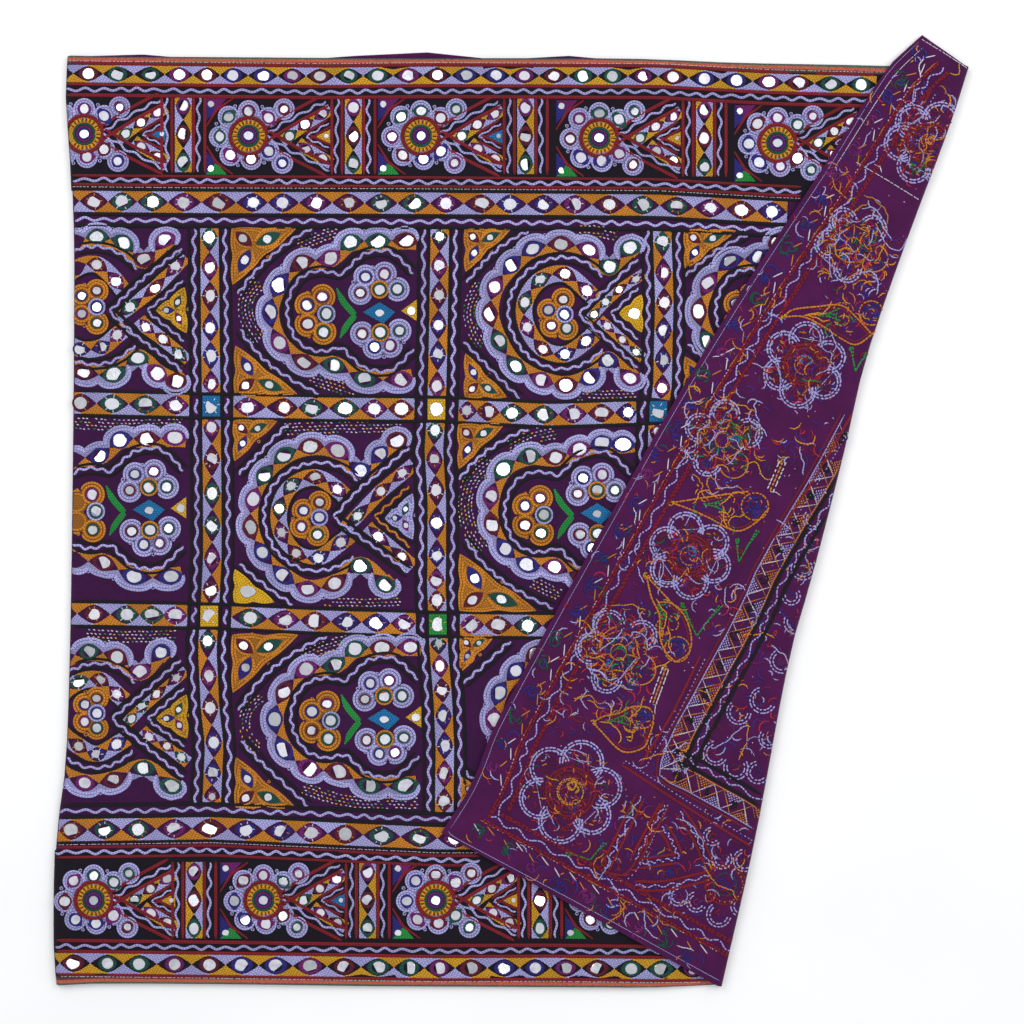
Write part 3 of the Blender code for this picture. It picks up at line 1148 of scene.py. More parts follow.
def sewSquares():
    for row, column, thread in columns["squares"]:
        x = columnX(column, rowY(row, columnX(column, 400)))
        y = rowY(row, x)
        wide, tall = 8.8, 10.4
        near = [(x - wide, y + tall), (x, y + tall), (x + wide, y + tall)]
        far = [(x - wide, y - tall), (x, y - tall), (x + wide, y - tall)]
        fill(thread, near, far, rows=4)
        mirror(x, y, 6.6, None, 0.0, 0.92, "white" if thread != "leaf" else "yellow", lift=0.7)


sewColumns()
sewCrossRows()
sewSquares()
print("net of bands sewn")

# Arches of eyes with scalloped rows outside them

arches = {
    "reach": 8.4,
    "inside": 9.0,
    "rows": (1.6, 4.8),
    "rowWidth": 2.95,
    "spread": 1.09,
    "power": 2.5,
    "endRoom": 11.0,
    "threads": ("lilac", "orange"),
}


def rowHeight(x, room, out, last=False):
    # a scallop: shallow where the next one meets it, and down to the band's middle line where the row ends
    wide, power = (room + 0.4 * out, 2.0) if last else (room * arches["spread"], arches["power"])
    return (arches["reach"] + out) * max(1 - (x / wide) ** power, 0.0) ** (1 / power)


def bud(thread, x, y, away, size=1.0):
    # a small loop of one row, outside the place where two rounds meet
    cx, cy = x + away.x * 2.2 * size, y + away.y * 2.2 * size
    start = atan2(-away.y, away.x) + pi
    loop = [polar(cx, cy, 1.6 * size, start + a) for a in range(7)]
    sew(thread, [(x, y)] + loop, 1.3, 0.3)


def archBand(path, places, dips=(), first=0, mirrorSize=6.9):
    # outside is the right-hand side of the path
    outside, inside = -1, 1
    room = arches["endRoom"]
    tips = [places[0] - room] + [(a + b) / 2 for a, b in zip(places, places[1:])] + [places[-1] + room]
    whole = arches["rows"][-1] + 1.0
    for n, tip in enumerate(tips):
        s0 = places[n - 1] if n else tip
        s1 = places[n] if n < len(places) else tip
        samples = sideRun(s0, tip, s1)
        lens = [arches["reach"] * lensHeight(u) for _, u in samples]
        fill(arches["threads"][1], [path.at(s, inside * h) for (s, _), h in zip(samples, lens)],
             [path.at(s, inside * arches["inside"]) for s, _ in samples])
        outer = []
        for (s, u), h in zip(samples, lens):
            owner = max(n - 1 if (s < tip or n == len(places)) else n, 0)
            height = rowHeight(abs(s - places[owner]), abs(tip - places[owner]), whole, n in (0, len(places)))
            outer.append(max(h, arches["inside"] - 0.6 if owner in dips else height))
        # painted shade: the filling under the scallop rows is darker where it shows between them
        fill(arches["threads"][0], [path.at(s, outside * h) for (s, _), h in zip(samples, lens)],
             [path.at(s, outside * h) for (s, _), h in zip(samples, outer)], shade=0.8)
        if 0 < n < len(places) and n - 1 not in dips and n not in dips and rng.random() < 0.75:
            room = (s1 - s0) / 2
            spot, near = Vector(path.at(tip, outside * (rowHeight(room, room, whole) + 0.2))), Vector(path.at(tip))
            bud(arches["threads"][0], spot.x, spot.y, (spot - near).normalized())
    for n, s in enumerate(places):
        if n in dips:
            continue
        for out in arches["rows"]:
            rooms = s - tips[n], tips[n + 1] - s
            lasts = n == 0 or n - 1 in dips, n == len(places) - 1 or n + 1 in dips
            ends = [room + 0.4 * out if last else room for room, last in zip(rooms, lasts)]
            line = []
            for m in range(13):
                x = mix(-ends[0], ends[1], ease(m / 12))
                side = 0 if x < 0 else 1
                line.append(path.at(s + x, outside * rowHeight(abs(x), rooms[side], out, lasts[side])))
            sew(arches["threads"][0], line, arches["rowWidth"], 0.35)
    for n, s in enumerate(places):
        x, y = path.at(s)
        mirror(x, y, mirrorSize * between(0.9, 1.12), ringCycle[(n * 3 + first) % len(ringCycle)], path.turn(s), 1.06)


def disc(thread, x, y, radius, dome, lift=0.3, shade=1.0):
    # a round of filling stitches
    count = 10
    near, far = ([polar(x, y, radius, way * pi * n / count) for n in range(count + 1)] for way in (-1, 1))
    fill(thread, near, far, rows=4, dome=dome, lift=lift, shade=shade)


def arcPoints(x, y, radius, start, end, step=14, count=None):
    count = count or max(3, int(abs(end - start) / step))
    return [polar(x, y, radius, radians(mix(start, end, n / count))) for n in range(count + 1)]


def circle(thread, x, y, radius, width, lift):
    sew(thread, arcPoints(x, y, radius, 0.0, 360.0, count=max(6, int(radius * 360 / 140))), width, lift)


def cloudRows(thread, centres, radii, middle, middleRadius, width=2.75):
    # rows of stitches round the outside of a group of petals, open towards the flower's middle
    for radius in radii:
        for n, (cx, cy) in enumerate(centres):
            keep, run = [], []
            for m in range(0, 61):
                x, y = polar(cx, cy, radius, radians(m * 12))
                outside = all(hypot(x - ox, y - oy) >= radius - 0.25 for k, (ox, oy) in enumerate(centres) if k != n)
                if outside and hypot(x - middle[0], y - middle[1]) >= middleRadius:
                    run.append((x, y))
                elif run:
                    keep.append(run)
                    run = []
            if run:
                keep.append(run)
            whole = max(keep, key=len, default=[])
            if len(whole) > 1:
                sew(thread, whole[:31], width, 0.5)


def flower(middle, petals, thread, rings, middleRings, radii=(8.6, 11.7), petalSize=5.0, middleSize=5.4,
           openRadius=9.0):
    for x, y in petals:
        # painted shade: the round under the petal rows is darker where it shows between them
        disc(thread, x, y, radii[-1] - 0.6, dome=0.1, shade=0.6)
    cloudRows(thread, petals, radii, middle, openRadius)
    for n, (x, y) in enumerate(petals):
        mirror(x, y, petalSize * between(0.92, 1.08), rings[n % len(rings)], pointed=0, lift=0.8)
    for (x0, y0), (x1, y1) in zip(petals, petals[1:]):
        half = hypot(x1 - x0, y1 - y0) / 2
        if half < radii[-1] and rng.random() < 0.8:
            joint = Vector(((x0 + x1) / 2, (y0 + y1) / 2))
            away = (joint - Vector(middle)).normalized()
            spot = joint + away * (sqrt(radii[-1] ** 2 - half ** 2) + 0.6)
            bud(thread, spot.x, spot.y, away)
    x, y = middle
    disc(middleRings[1], x, y, middleSize + 3.6, dome=0.2, lift=0.9)
    circle(middleRings[1], x, y, middleSize + 2.9, 2.2, 0.9)
    mirror(x, y, middleSize, middleRings[0], pointed=0, lift=1.2)


trianglePetals = (((0.05, 0.07), (0.31, 0.32)), ((0.36, 0.29), (0.76, 0.095)), ((0.28, 0.38), (0.10, 0.78)))


def cornerTriangle(corner, alongX, alongY, thread, single, rings=("maroon", "green", "blue")):
    # three points: the panel's corner, then the ends of its two sides
    origin = Vector(corner)
    ways = Vector(alongX) - origin, Vector(alongY) - origin
    size = (ways[0].length + ways[1].length) / 2

    def place(u, v):
        return origin + ways[0] * u + ways[1] * v

    near = [mixed(corner, alongX, t) for t in (0, 0.25, 0.5, 0.75, 1)]
    far = [mixed(alongY, alongX, t) for t in (0, 0.25, 0.5, 0.75, 1)]
    # painted shade: unless single, the filling under the rows is darker where it shows between them
    fill(thread, near, far, rows=4, dome=0.1, shade=1.0 if single else 0.7)
    for inset in (0.3,) if single else (0.3, 2.9):
        shrink = inset / size
        ends = [place(*q) for q in ((shrink, shrink), (1 - 2.6 * shrink, shrink), (shrink, 1 - 2.6 * shrink))]
        for a, b in ((0, 1), (1, 2), (2, 0)):
            bow = (ends[3 - a - b] - (ends[a] + ends[b]) / 2).normalized() * 1.6
            bends = [max(0.0, 1 - abs(t - 5) / 1.5) - 0.5 * sin(pi * t / 5) ** 2 for t in range(11)]
            line = [ends[a].lerp(ends[b], t / 10) + bow * bends[t] for t in range(11)]
            sew(thread, line, 2.5, 0.35)
    if single:
        middle = place(0.33, 0.33)
        mirror(middle.x, middle.y, size * 0.19, None, 0.0, 1.1, lift=0.7)
        return
    for n, (start, end) in enumerate(trianglePetals):
        a, b = place(*start), place(*end)
        wide = size * 0.098
        petal(a, b, wide, rings[n % len(rings)], size * 0.07)
        side = heading(a, b)[1]
        for lean in (-1, 1):
            for more in (1.3, 3.7):
                bow = side * lean * (wide + more)
                row = [a.lerp(b, t) + bow * sin(pi * (0.08 + 0.84 * t)) for t in (0, 0.15, 0.3, 0.5, 0.7, 0.85, 1)]
                if more < 2 or n:
                    sew(thread, row, 2.3, 0.6)
    for u, v in ((0.53, 0.49), (0.30, 0.02)):
        joint, middle = place(u, v), place(0.33, 0.33)
        bud(thread, joint.x, joint.y, (joint - middle).normalized(), 0.8)


def petal(a, b, wide, thread, mirrorRadius):
    # a lens of filling stitches from a to b with a small mirror in it
    d, side = heading(a, b)
    steps = (0.0, 0.18, 0.38, 0.6, 0.8, 1.0)
    near = [a.lerp(b, t) + side * wide * sin(pi * t) for t in steps]
    far = [a.lerp(b, t) - side * wide * sin(pi * t) for t in steps]
    fill(thread, near, far, dome=0.5, lift=0.75)
    spot = a.lerp(b, 0.46)
    mirror(spot.x, spot.y, mirrorRadius, None, atan2(-d.y, d.x), 1.05, lift=1.3)


def twoArms(points, turn=None):
    turn = len(points) // 2 if turn is None else turn
    return points[:turn + 1], points[turn:]


def armEyes(points, turn, half, threads, before, after, **options):
    # eyes along the two arms of a chevron, the one at its turn sewn once
    for side in twoArms(points, turn):
        line = Path([mixed(side[0], side[1], -before)] + side + [mixed(side[-1], side[-2], -after)])
        seats = [line.find(*p) for p in (side if side[0] == points[0] else side[1:])]
        eyeBand(line, seats, half, threads, **options)


def flankedSquiggle(points, off=4.6, thread="lilac", smooth=True, width=2.8, swing=1.2, flank=3.2):
    path = Path(curveThrough(points) if smooth else points)
    squiggle(path, 0.5, path.length - 0.5, 0.0, thread, swing, 12.5, width)
    for side in (-off, off):
        edgeLine("black", path, side, flank)
    return path


smallStitches = {"gap": 3.4, "pitch": 4.5, "missing": 0.08, "threads": ("white", "yellow", "white", "leaf", "lilac")}


def runningPatch(points, rows):
    # short rows of tiny stitches in several colours
    path, pitch = Path(curveThrough(points)), smallStitches["pitch"]
    for n in range(rows):
        off = (n - (rows - 1) / 2) * smallStitches["gap"]
        for m in range(int(path.length / pitch)):
            if rng.random() < smallStitches["missing"]:
                continue
            s = (m + 0.5 * (n % 2) + between(0.1, 0.4)) * pitch
            x, y = path.at(s, off + between(-0.4, 0.4))
            thread = oneOf(smallStitches["threads"])
            stitch(thread, x, y, path.turn(s) + between(-0.5, 0.1), 2.3, 1.15, 0.3)


def mirrored(points, about):
    return points + [(x, 2 * about - y) for x, y in reversed(points) if abs(y - about) > 1.0]


# The two kinds of panel, each drawn from its own middle with y up

heartPanel = {
    "arch": ((79.5, 69), (51.5, 68), (24.5, 66.8), (4, 51), (-24.5, 46.5), (-46.5, 24.5), (-56, -3), (-46.5, -33.5),
             (-21.5, -52.5), (7.5, -55.5), (38.5, -69.5), (75.5, -69.5)),
    "inner": [(88, 36), (69, 54.5), (54.5, 58.5), (36.5, 54.5), (23.5, 43.5), (14, 35.5), (-4, 38.5), (-22, 33.5),
              (-34, 19.5), (-39.5, -1.5)],
    "about": -1.5,
    "orangeFlower": ((0.5, -4.5), ((-18.5, 4.5), (-3.5, 12.5), (-2.5, -22.5), (-18.5, -14.5))),
    "lilacFlowers": (((53.5, 19.9), ((34.2, 16.6), (39.5, 32.5), (58.4, 35.5), (71.2, 20.1))),
                     ((54.3, -23), ((36.1, -24.1), (48.5, -37.5), (64.2, -36.1), (73.1, -21.4)))),
    "leaf": ((10.7, 21.2), (17, 8), (28.9, -5.6), (20, -17), (14.1, -28.1)),
    "diamond": ((36.9, -2.6), (53.5, 7.3), (69.1, -2.6), (57, -14.2)),
    "triangle": ((75, -1.3), (90.5, 10), (90.5, -11.5)),
}


def leafArm(points):
    path = Path(curveThrough(points, 4.0))
    near, far = [], []
    for n in range(7):
        t = n / 6
        half = 3.0 * min(1.0, 0.25 + 2.2 * min(t, 1.25 - t))
        near.append(path.at(t * path.length, half))
        far.append(path.at(t * path.length, -half))
    fill("leaf", near, far, rows=3, dome=0.7)


def sewHeart(cx, cy, first, arch=None):
    spot, spots = placer(cx, cy)
    plan = heartPanel
    arch = arch or plan["arch"]
    path = Path(curveThrough([spot((94, 68))] + spots(arch) + [spot((92, -67))]))
    archBand(path, [path.find(*spot(p)) for p in arch], first=first)
    flankedSquiggle(spots(mirrored(plan["inner"], plan["about"])))
    middle, petals = plan["orangeFlower"]
    flower(spot(middle), spots(petals), "orange", ("blue", "magenta", "green", "maroon"), ("green", "lilac"))
    for middle, petals in plan["lilacFlowers"]:
        flower(spot(middle), spots(petals), "lilac", ("maroon", "blue", "magenta", "green"), ("green", "orange"),
               radii=(8.1, 11.0), petalSize=4.7)
    leafArm(spots(plan["leaf"][:3]))
    leafArm(spots(plan["leaf"][:1:-1]))
    left, top, right, low = spots(plan["diamond"])
    fill("sky", straight(left, low) + straight(low, right)[1:],
         straight(left, top) + straight(top, right)[1:], rows=4, dome=0.6)
    mirror(*spot((53.5, -3.4)), 4.0, None, 0.0, 1.1, lift=0.9)
    for a, b in ((left, top), (top, right), (right, low), (low, left)):
        away = Vector(((a[0] + b[0]) / 2 - spot((53, -3))[0], (a[1] + b[1]) / 2 - spot((53, -3))[1])).normalized() * 2.0
        sew("black", [(a[0] + away.x, a[1] + away.y), (b[0] + away.x, b[1] + away.y)], 1.8)
    tip, high, low = spots(plan["triangle"])
    fill("yellow", straight(tip, low), straight(tip, high), dome=0.6)
    mirror(*spot((85, -1.3)), 4.2, None, 0.0, 1.0, lift=0.9)


def sewCorners(high, low, highDiagonal, lowDiagonal, plain):
    # high and low: the corner's own place, then how far its triangle runs along and down or up
    for (x, y, wide, tall), thread, single in ((high, "orange", False), (low, "yellow" if plain else "orange", plain)):
        cornerTriangle((x, y), (x + wide, y), (x + 0.5, y + tall), thread, single)
    for (x0, y0), (x1, y1), bow in (highDiagonal, lowDiagonal):
        length = hypot(x1 - x0, y1 - y0)
        away = -abs(y1 - y0) / length, (x1 - x0) / length if y1 > y0 else (x0 - x1) / length
        bends = [(t, bow * 4 * t * (1 - t)) for t in (0, 0.25, 0.5, 0.75, 1)]
        flankedSquiggle([(mix(x0, x1, t) + away[0] * b, mix(y0, y1, t) + away[1] * b) for t, b in bends])


arrowPanel = {
    "arch": ((78, 65), (57, 46), (37, 63), (9, 69), (-20, 64), (-40, 48), (-57, 26), (-62, -1), (-53, -28), (-36, -53),
             (-10, -67), (14, -72), (38, -64), (56, -47), (78, -65)),
    "dips": (1, 13),
    "round": ((10, 0), 53.5, 55.5, 40),
    "ring": ((35, 22), (13, 39), (-12, 33), (-27, 11), (-25, -14), (-9, -36), (13, -41), (34, -28)),
    "flower": ((12.7, -1.3), ((10.8, 13.5), (-3.4, 2.7), (-0.7, -12.8), (14.5, -15.5))),
    "chevron": ((86, 54), (57, 27), (26, -1.0), (57, -29), (86, -55)),
    "eyes": ((83.6, 34.3), (67, 23.4), (53.4, 11.3), (42, -1.3), (55, -13), (70, -26.6), (84, -39)),
    "apex": 3,
    "half": 5.2,
    "flanks": ((3.9, 2.4), (3.6, 2.2)),
    "innerChevron": ((86, 26), (58.7, -1), (86, -27)),
    "triangle": ((67, -0.5), (89.5, 18.5), (90, -19.5)),
}
wideArrow = {
    **arrowPanel,
    "chevron": ((99, 63), (56.5, 28), (26.5, -0.5), (56.5, -28), (100.5, -60)),
    "half": 6.9,
    "apex": 2,
    "flanks": ((4.7, 3.8), (4.3, 3.4)),
    "innerChevron": ((100.5, 30.6), (64.5, 0), (101.5, -31)),
    "triangle": ((73, 0.6), (102, 23.5), (104, -22.5)),
}
highArrow = {
    **wideArrow,
    "arch": ((82.5, 70.6), (61.5, 50.6), (40.5, 67.6), (14.5, 73.6), (-8, 68), (-34, 50), (-50, 20), (-50, -14),
             (-30, -48), (1.5, -61.4), (31.5, -63.4), (55.5, -47.4), (74.5, -62.4), (93.5, -70.4)),
    "dips": (1, 11),
    "round": ((12, 5), 55, 58.5, 38),
    "ring": ((33.5, 29.6), (14.5, 46), (-6, 42), (-24, 24), (-28, 0), (-20, -26), (-2.5, -38.4), (19.5, -36.4),
             (34.5, -24.4)),
    "flower": ((14.5, 3.6), ((14.5, 19.6), (-0.5, 14.6), (-0.5, -3.4), (14.5, -12.4))),
    "eyes": ((92.5, 43.6), (72.5, 22.6), (47.5, 3.6), (63.5, -16.4), (80.5, -28.4), (96.5, -43.4)),
}
lowArrow = {
    **wideArrow,
    "arch": ((75, 66.5), (54, 46.5), (31, 61.5), (3, 66.5), (-24, 58), (-44, 40), (-54, 14), (-50, -16), (-30, -50),
             (-1, -64.5), (27, -61.5), (58, -49.5), (85, -67.5)),
    "dips": (1, 11),
    "round": ((10, 3), 50, 52, 38),
    "ring": ((31, 24.5), (14, 38.5), (-7, 36.5), (-26, 20), (-26, -10), (-7, -27.5), (11, -35.5), (31, -25.5)),
    "flower": ((11, 5.5), ((11, 20), (-1, 14), (-1, -3), (11, -9.5))),
    "eyes": ((90, 40.5), (71, 24.5), (56, 11.5), (45, -0.5), (63, -18.5), (81, -27.5), (95, -38.5)),
    "apex": 3,
    "half": 5.9,
    "chevron": ((95, 58.5), (56.5, 26), (26, -0.5), (58, -27), (98, -58.5)),
    "innerChevron": ((98, 30.5), (61, -0.5), (99, -28)),
    "triangle": ((69, -0.5), (100.5, 24), (101, -20)),
}
middleArrow = {
    **wideArrow,
    "arch": ((89, 76), (72, 62), (53, 46), (30, 66), (3, 70), (-23, 61), (-43, 41), (-54, 17), (-57, -11), (-45, -36),
             (-24, -59), (0, -72), (27, -67), (53, -49), (78, -68)),
    "dips": (2, 13),
    "round": ((10, 0), 53.5, 54, 41),
    "ring": ((30, 27), (8, 39), (-16, 31), (-28, 8), (-26, -16), (-11, -37), (11, -41), (33, -26)),
    "flower": ((12, -1), ((12, 14), (-4, 6), (-6, -10), (10, -18))),
    "chevron": ((102, 69), (52, 28), (26, -1), (52, -20), (101, -56)),
    "eyes": ((95, 43), (73, 25), (50, 1), (71, -20), (94, -40)),
    "innerChevron": ((101, 31), (67, -1), (103, -31)),
    "triangle": ((77, -2), (105, 23), (105, -23)),
}


def sewArrow(cx, cy, first, plan=arrowPanel, triangle="gold", chevron="lilac", single=False):
    spot, spots = placer(cx, cy)
    arch = plan["arch"]
    ends = (arch[0][0] + 12, arch[0][1] - 7), (arch[-1][0] + 12, arch[-1][1] + 7)
    path = Path(curveThrough(spots((ends[0], *arch, ends[1]))))
    archBand(path, [path.find(*spot(p)) for p in arch], plan["dips"], first=first, mirrorSize=6.6)
    (rx, ry), wide, tall, stop = plan["round"]
    turns = [radians(a) for a in range(stop, 361 - stop, 8)]
    flankedSquiggle([spot((rx + wide * cos(a), ry + tall * sin(a))) for a in turns])
    ring = Path(curveThrough([spot((47, 10))] + spots(plan["ring"]) + [spot((46, -16))]))
    seats = [ring.find(*spot(p)) for p in plan["ring"]]
    ends = seats[0] - 12, seats[-1] + 12
    eyeBand(ring, seats, 8.2, bothWays("lilac", "orange"), *ends, ties=("white", "orange"), size=0.62)
    edgeLine("black", ring, 9.6, 2.6, *ends)
    middle, petals = plan["flower"]
    flower(spot(middle), spots(petals), "orange", ("maroon", "blue", "magenta", "green"), ("blue", "lilac"),
           radii=(7.7, 10.5), petalSize=4.5, middleSize=5.0, openRadius=8.5)
    kinds = ("chevron", "lilac", 2.8), ("innerChevron", chevron, 2.5)
    for (name, tone, width), (off, flank) in zip(kinds, plan["flanks"]):
        for points in twoArms(spots(plan[name])):
            flankedSquiggle(points, off, tone, smooth=False, width=width, flank=flank, swing=1.1)
    armEyes(spots(plan["eyes"]), plan["apex"], plan["half"], bothWays("orange", "lilac"), 0.6, 0.35,
            ties=("white", "orange"), size=0.72)
    cornerTriangle(*spots(plan["triangle"]), triangle, single, ("blue", "green", "magenta"))


# Each panel by its middle; then its corner triangles, its diagonals and its patches of small stitches

middleHeartArch = ((79, 66), (58, 67), (35, 61), (11.5, 53), (-14.5, 54), (-40, 41.4), (-52.5, 13.6), (-51.5, -13.6),
                   (-38.5, -38), (-16, -54), (11, -56), (38.5, -67), (75.5, -69.5))
panels = (
    (sewArrow, (83.5, 311.6), {"plan": highArrow}, None, ()),
    (sewHeart, (326.5, 310.5), {},
     ((232.5, 229, 65, 57), (235.5, 395.5, 63, -49), ((313, 229.5), (238.6, 295.6), 7),
      ((320, 394.9), (240, 330.6), 7.8)),
     ((((298, 247), (320, 238), (342, 231)), 4), (((260, 283), (248, 298), (246, 314), (252, 328), (264, 345)), 5),
      (((308, 379), (332, 386), (356, 394)), 4))),
    (sewArrow, (552, 314), {"triangle": "yellow", "single": True},
     ((465, 230, 46, 43), (465, 398, 42, -44), ((528.5, 231.5), (465.9, 284), 5), ((520.5, 399), (463.7, 342), 1.2)),
     ((((577, 232), (600, 233), (621, 238)), 4), (((482, 282), (472, 300), (469, 316), (474, 334), (484, 350)), 4),
      (((577, 396), (607, 397), (638, 396)), 4))),
    (sewHeart, (754.5, 309), {},
     ((684, 231.5, 52, 39), (684, 396, 52, -39), ((748, 234.4), (684.4, 276.9), 2.7), ((746, 392), (687, 345), 2)), ()),
    (sewHeart, (96.5, 507.5), {}, None, ((((76, 424), (130, 426), (187, 425)), 4),)),
    (sewArrow, (308, 517), {"plan": middleArrow, "triangle": "lilac", "chevron": "orange"},
     ((234.5, 421, 44, 41), (235, 602.5, 40, -33), ((289, 424.7), (238.8, 475), 0.3),
      ((294, 604.6), (239.6, 564.2), 2.2)),
     ((((283, 430), (340, 428), (408, 427)), 4), (((325, 602), (365, 603), (405, 602)), 3))),
    (sewHeart, (543.5, 511), {"arch": middleHeartArch},
     ((458.5, 425, 46, 45), (459.5, 611, 77, -57), ((528.8, 429.8), (459.2, 480.8), 7.4),
      ((553.8, 608.2), (464.7, 539.4), 9.6)),
     ((((510, 449), (534, 437), (560, 431)), 5), (((491, 461), (472, 480), (465, 504), (470, 530), (485, 550)), 5),
      (((532, 582), (548, 590), (564, 597)), 4))),
    (sewArrow, (87, 718.5), {"plan": lowArrow}, None, ((((87, 635), (130, 637), (180, 636)), 4),)),
    (sewHeart, (331, 716), {},
     ((233, 635, 66, 58), (236, 807, 60, -50), ((327.8, 636.5), (238.8, 711), 10.6),
      ((309.4, 806), (241.5, 740.5), 1.7)),
     ((((302, 657), (326, 647), (352, 639)), 4), (((262, 695), (248, 710), (245, 726), (250, 740), (262, 752)), 4),
      (((303, 788), (350, 801), (420, 803)), 4))),
    (sewArrow, (556, 719), {},
     ((460.5, 636, 34, 36), (462, 806, 30, -30), ((511, 641.2), (463.2, 683.9), 0.5), ((500, 800), (463, 770), 1)), ()),
)


def sewPanels():
    for n, (kind, middle, options, corners, patches) in enumerate(panels):
        kind(*middle, n * 3, **options)
        if corners:
            sewCorners(*corners, plain=n == 5)
        for points, rows in patches:
            runningPatch(points, rows)


sewPanels()
print("panels sewn")

# The motif of the black borders, drawn from its rosette's middle with y up

borderMotif = {
    "petals": ((0, 24.8), (-19.9, 19.2), (-28.8, -1), (-18.2, -19.3), (2.6, -23.3), (19.9, -15.5), (33.6, -27),
               (19.9, 18), (35.2, 26.6)),
    "chevron": ((77, 35.5), (47, 19.5), (16, 0.5), (47, -18), (81, -35)),
    "eyes": ((73.3, 21.5), (56.4, 11.4), (40.8, 0), (57, -12.6), (74, -22.6)),
    "innerChevron": ((80.5, 13), (57, -1.5), (80.5, -12.5)),
    "rows": (("chevron", 2.6, 1.4, 19, 6.0, 3.9), ("innerChevron", 2.0, 0.8, 12, 3.6, 2.6)),
    "triangle": ((66.6, -0.5), (81.2, 6.5), (81.2, -7.5)),
    "stripEyes": ((104, 28.5), (104.6, 0), (104, -28.3)),
    "strip": (8.4, 38.0),
    "squiggles": (87.8, 119.6),
    "lines": (83.0, 93.2, 114.8, 126.0),
    "corners": (((-43, 37.5), (-21.5, 37.5), (-43, 14.3)), ((-43, -38.5), (-21.5, -38.5), (-43, -14.5))),
    # each border's rosettes with the distance to their upright strip, and the line that they stand on
    "top": ((85.6, 98.6), (249.4, 104.4), (421.2, 104.4), (599, 105), (777, 105)),
    "topLine": ((75, 135.5), (249, 137.5), (421, 137.5), (599, 139.5), (777, 144)),
    "bottom": ((95, 100), (264, 104), (436, 104), (608, 104)),
    "bottomLine": ((75, 899.5),),
}


def rosette(x, y):
    circle("red", x, y, 18.3, 3.8, 0.5)
    disc("gold", x, y, 16.4, dome=0.1)
    for n in range(44):
        angle = 2 * pi * n / 44 + between(-0.03, 0.03)
        stitch("yellow" if n % 2 else "red", *polar(x, y, 13.9, angle), angle, 4.2, 1.2, 0.6)
    circle("green", x, y, 10.0, 2.8, 0.6)
    disc("purple", x, y, 8.9, dome=0.1, lift=0.8)
    circle("magenta", x, y, 7.2, 2.2, 0.9)
    mirror(x, y, 4.8, "blue", pointed=0, lift=1.2)


def sewBorderMotif(cx, cy, strip, triangle, first):
    spot, spots = placer(cx, cy)
    plan = borderMotif
    petals = spots(plan["petals"])
    order = [petals[n] for n in (8, 7, 0, 1, 2, 3, 4, 5, 6)]
    # painted shade: the lilac under the rows is darker where it shows between them
    for x, y in petals:
        disc("lilac", x, y, 9.6, dome=0.1, shade=0.8)
    # painted shade: these lilac rounds between the petals are darker too
    for a, b in zip(order, order[1:]):
        x, y = mixed(a, b, 0.5)
        disc("lilac", mix(x, cx, 0.06), mix(y, cy, 0.06), 6.0, dome=0.1, lift=0.25, shade=0.8)
        away = (Vector((x, y)) - Vector((cx, cy))).normalized()
        bud("lilac", x + away.x * 6.4, y + away.y * 6.4, away, 0.9)
    cloudRows("lilac", petals, (7.4, 9.8), (cx, cy), 20.0, 2.4)
    for n, (x, y) in enumerate(petals):
        size = 5.1 if n not in (6, 8) else 4.1
        around = atan2(cy - y, x - cx) + pi / 2
        mirror(x, y, size * between(0.9, 1.1), ringCycle[(n * 3 + first) % 8], around, pointed=2, lift=0.6)
    rosette(cx, cy)
    for name, width, swing, length, off, line in plan["rows"]:
        for points in twoArms(spots(plan[name])):
            path = Path(points)
            for side in (-off, off):
                edgeLine("red", path, side, line)
            squiggle(path, 0.5, path.length - 0.5, 0.0, width=width, swing=swing, length=length)
    armEyes(spots(plan["eyes"]), 2, 5.9, bothWays("gold", "lilac"), 0.5, 0.4, size=0.78)
    tip, high, low = spots(plan["triangle"])
    fill(triangle, straight(tip, low), straight(tip, high), dome=0.6)
    mirror(*spot((77.5, 0)), 2.3, None, lift=0.8)
    half, tall = plan["strip"]
    upright = Path([spot((strip, tall)), spot((strip, 0)), spot((strip, -tall))])
    seats = [upright.find(*spot((strip, y))) for _, y in plan["stripEyes"]]
    eyeBand(upright, seats, half, bothWays("lilac", "gold"), 0.0, upright.length, size=0.66)
    shift = strip - 104.4
    for x in plan["squiggles"]:
        line = Path([spot((x + shift, tall)), spot((x + shift, -tall))])
        squiggle(line, 0.5, line.length - 0.5, 0.0, width=2.6, swing=1.6, length=17)
    for x in plan["lines"]:
        line = Path([spot((x + shift, tall + 0.5)), spot((x + shift, 0)), spot((x + shift, -tall - 0.5))])
        edgeLine("red", line, 0.0, 3.6)


def borderCorners(cx, cy):
    for (corner, high, low), threads in zip(borderMotif["corners"], (("blue", "magenta"), ("blue", "leaf"))):
        a, b, c = placer(cx, cy)[1]((corner, high, low))
        middle = mixed(b, c, 0.5)
        fill(threads[1], straight(a, b), straight(a, middle))
        fill(threads[0], straight(a, middle), straight(a, c))
        mirror(*mixed(a, middle, 0.5), 3.2, None, lift=0.6)
        sew("red", [(b[0] + 6, b[1]), middle, (c[0], c[1] + (6 if c[1] > a[1] else -6))], 3.8)


def sewBorders():
    for shift, edge in enumerate(("top", "bottom")):
        for n, (x, strip) in enumerate(borderMotif[edge]):
            y = readTable(borderMotif[edge + "Line"], x)
            sewBorderMotif(x, y, strip, ("sky", "gold")[(n + shift) % 2], n * 3 + shift)
            if n:
                borderCorners(x, y)


sewBorders()
print("borders sewn")

# The reverse of the turned-back part: every stitch of the other side shows there as short dashes, with the tied-off
# ends, the long stitches from one figure to the next and the backs of the mirrors' rings

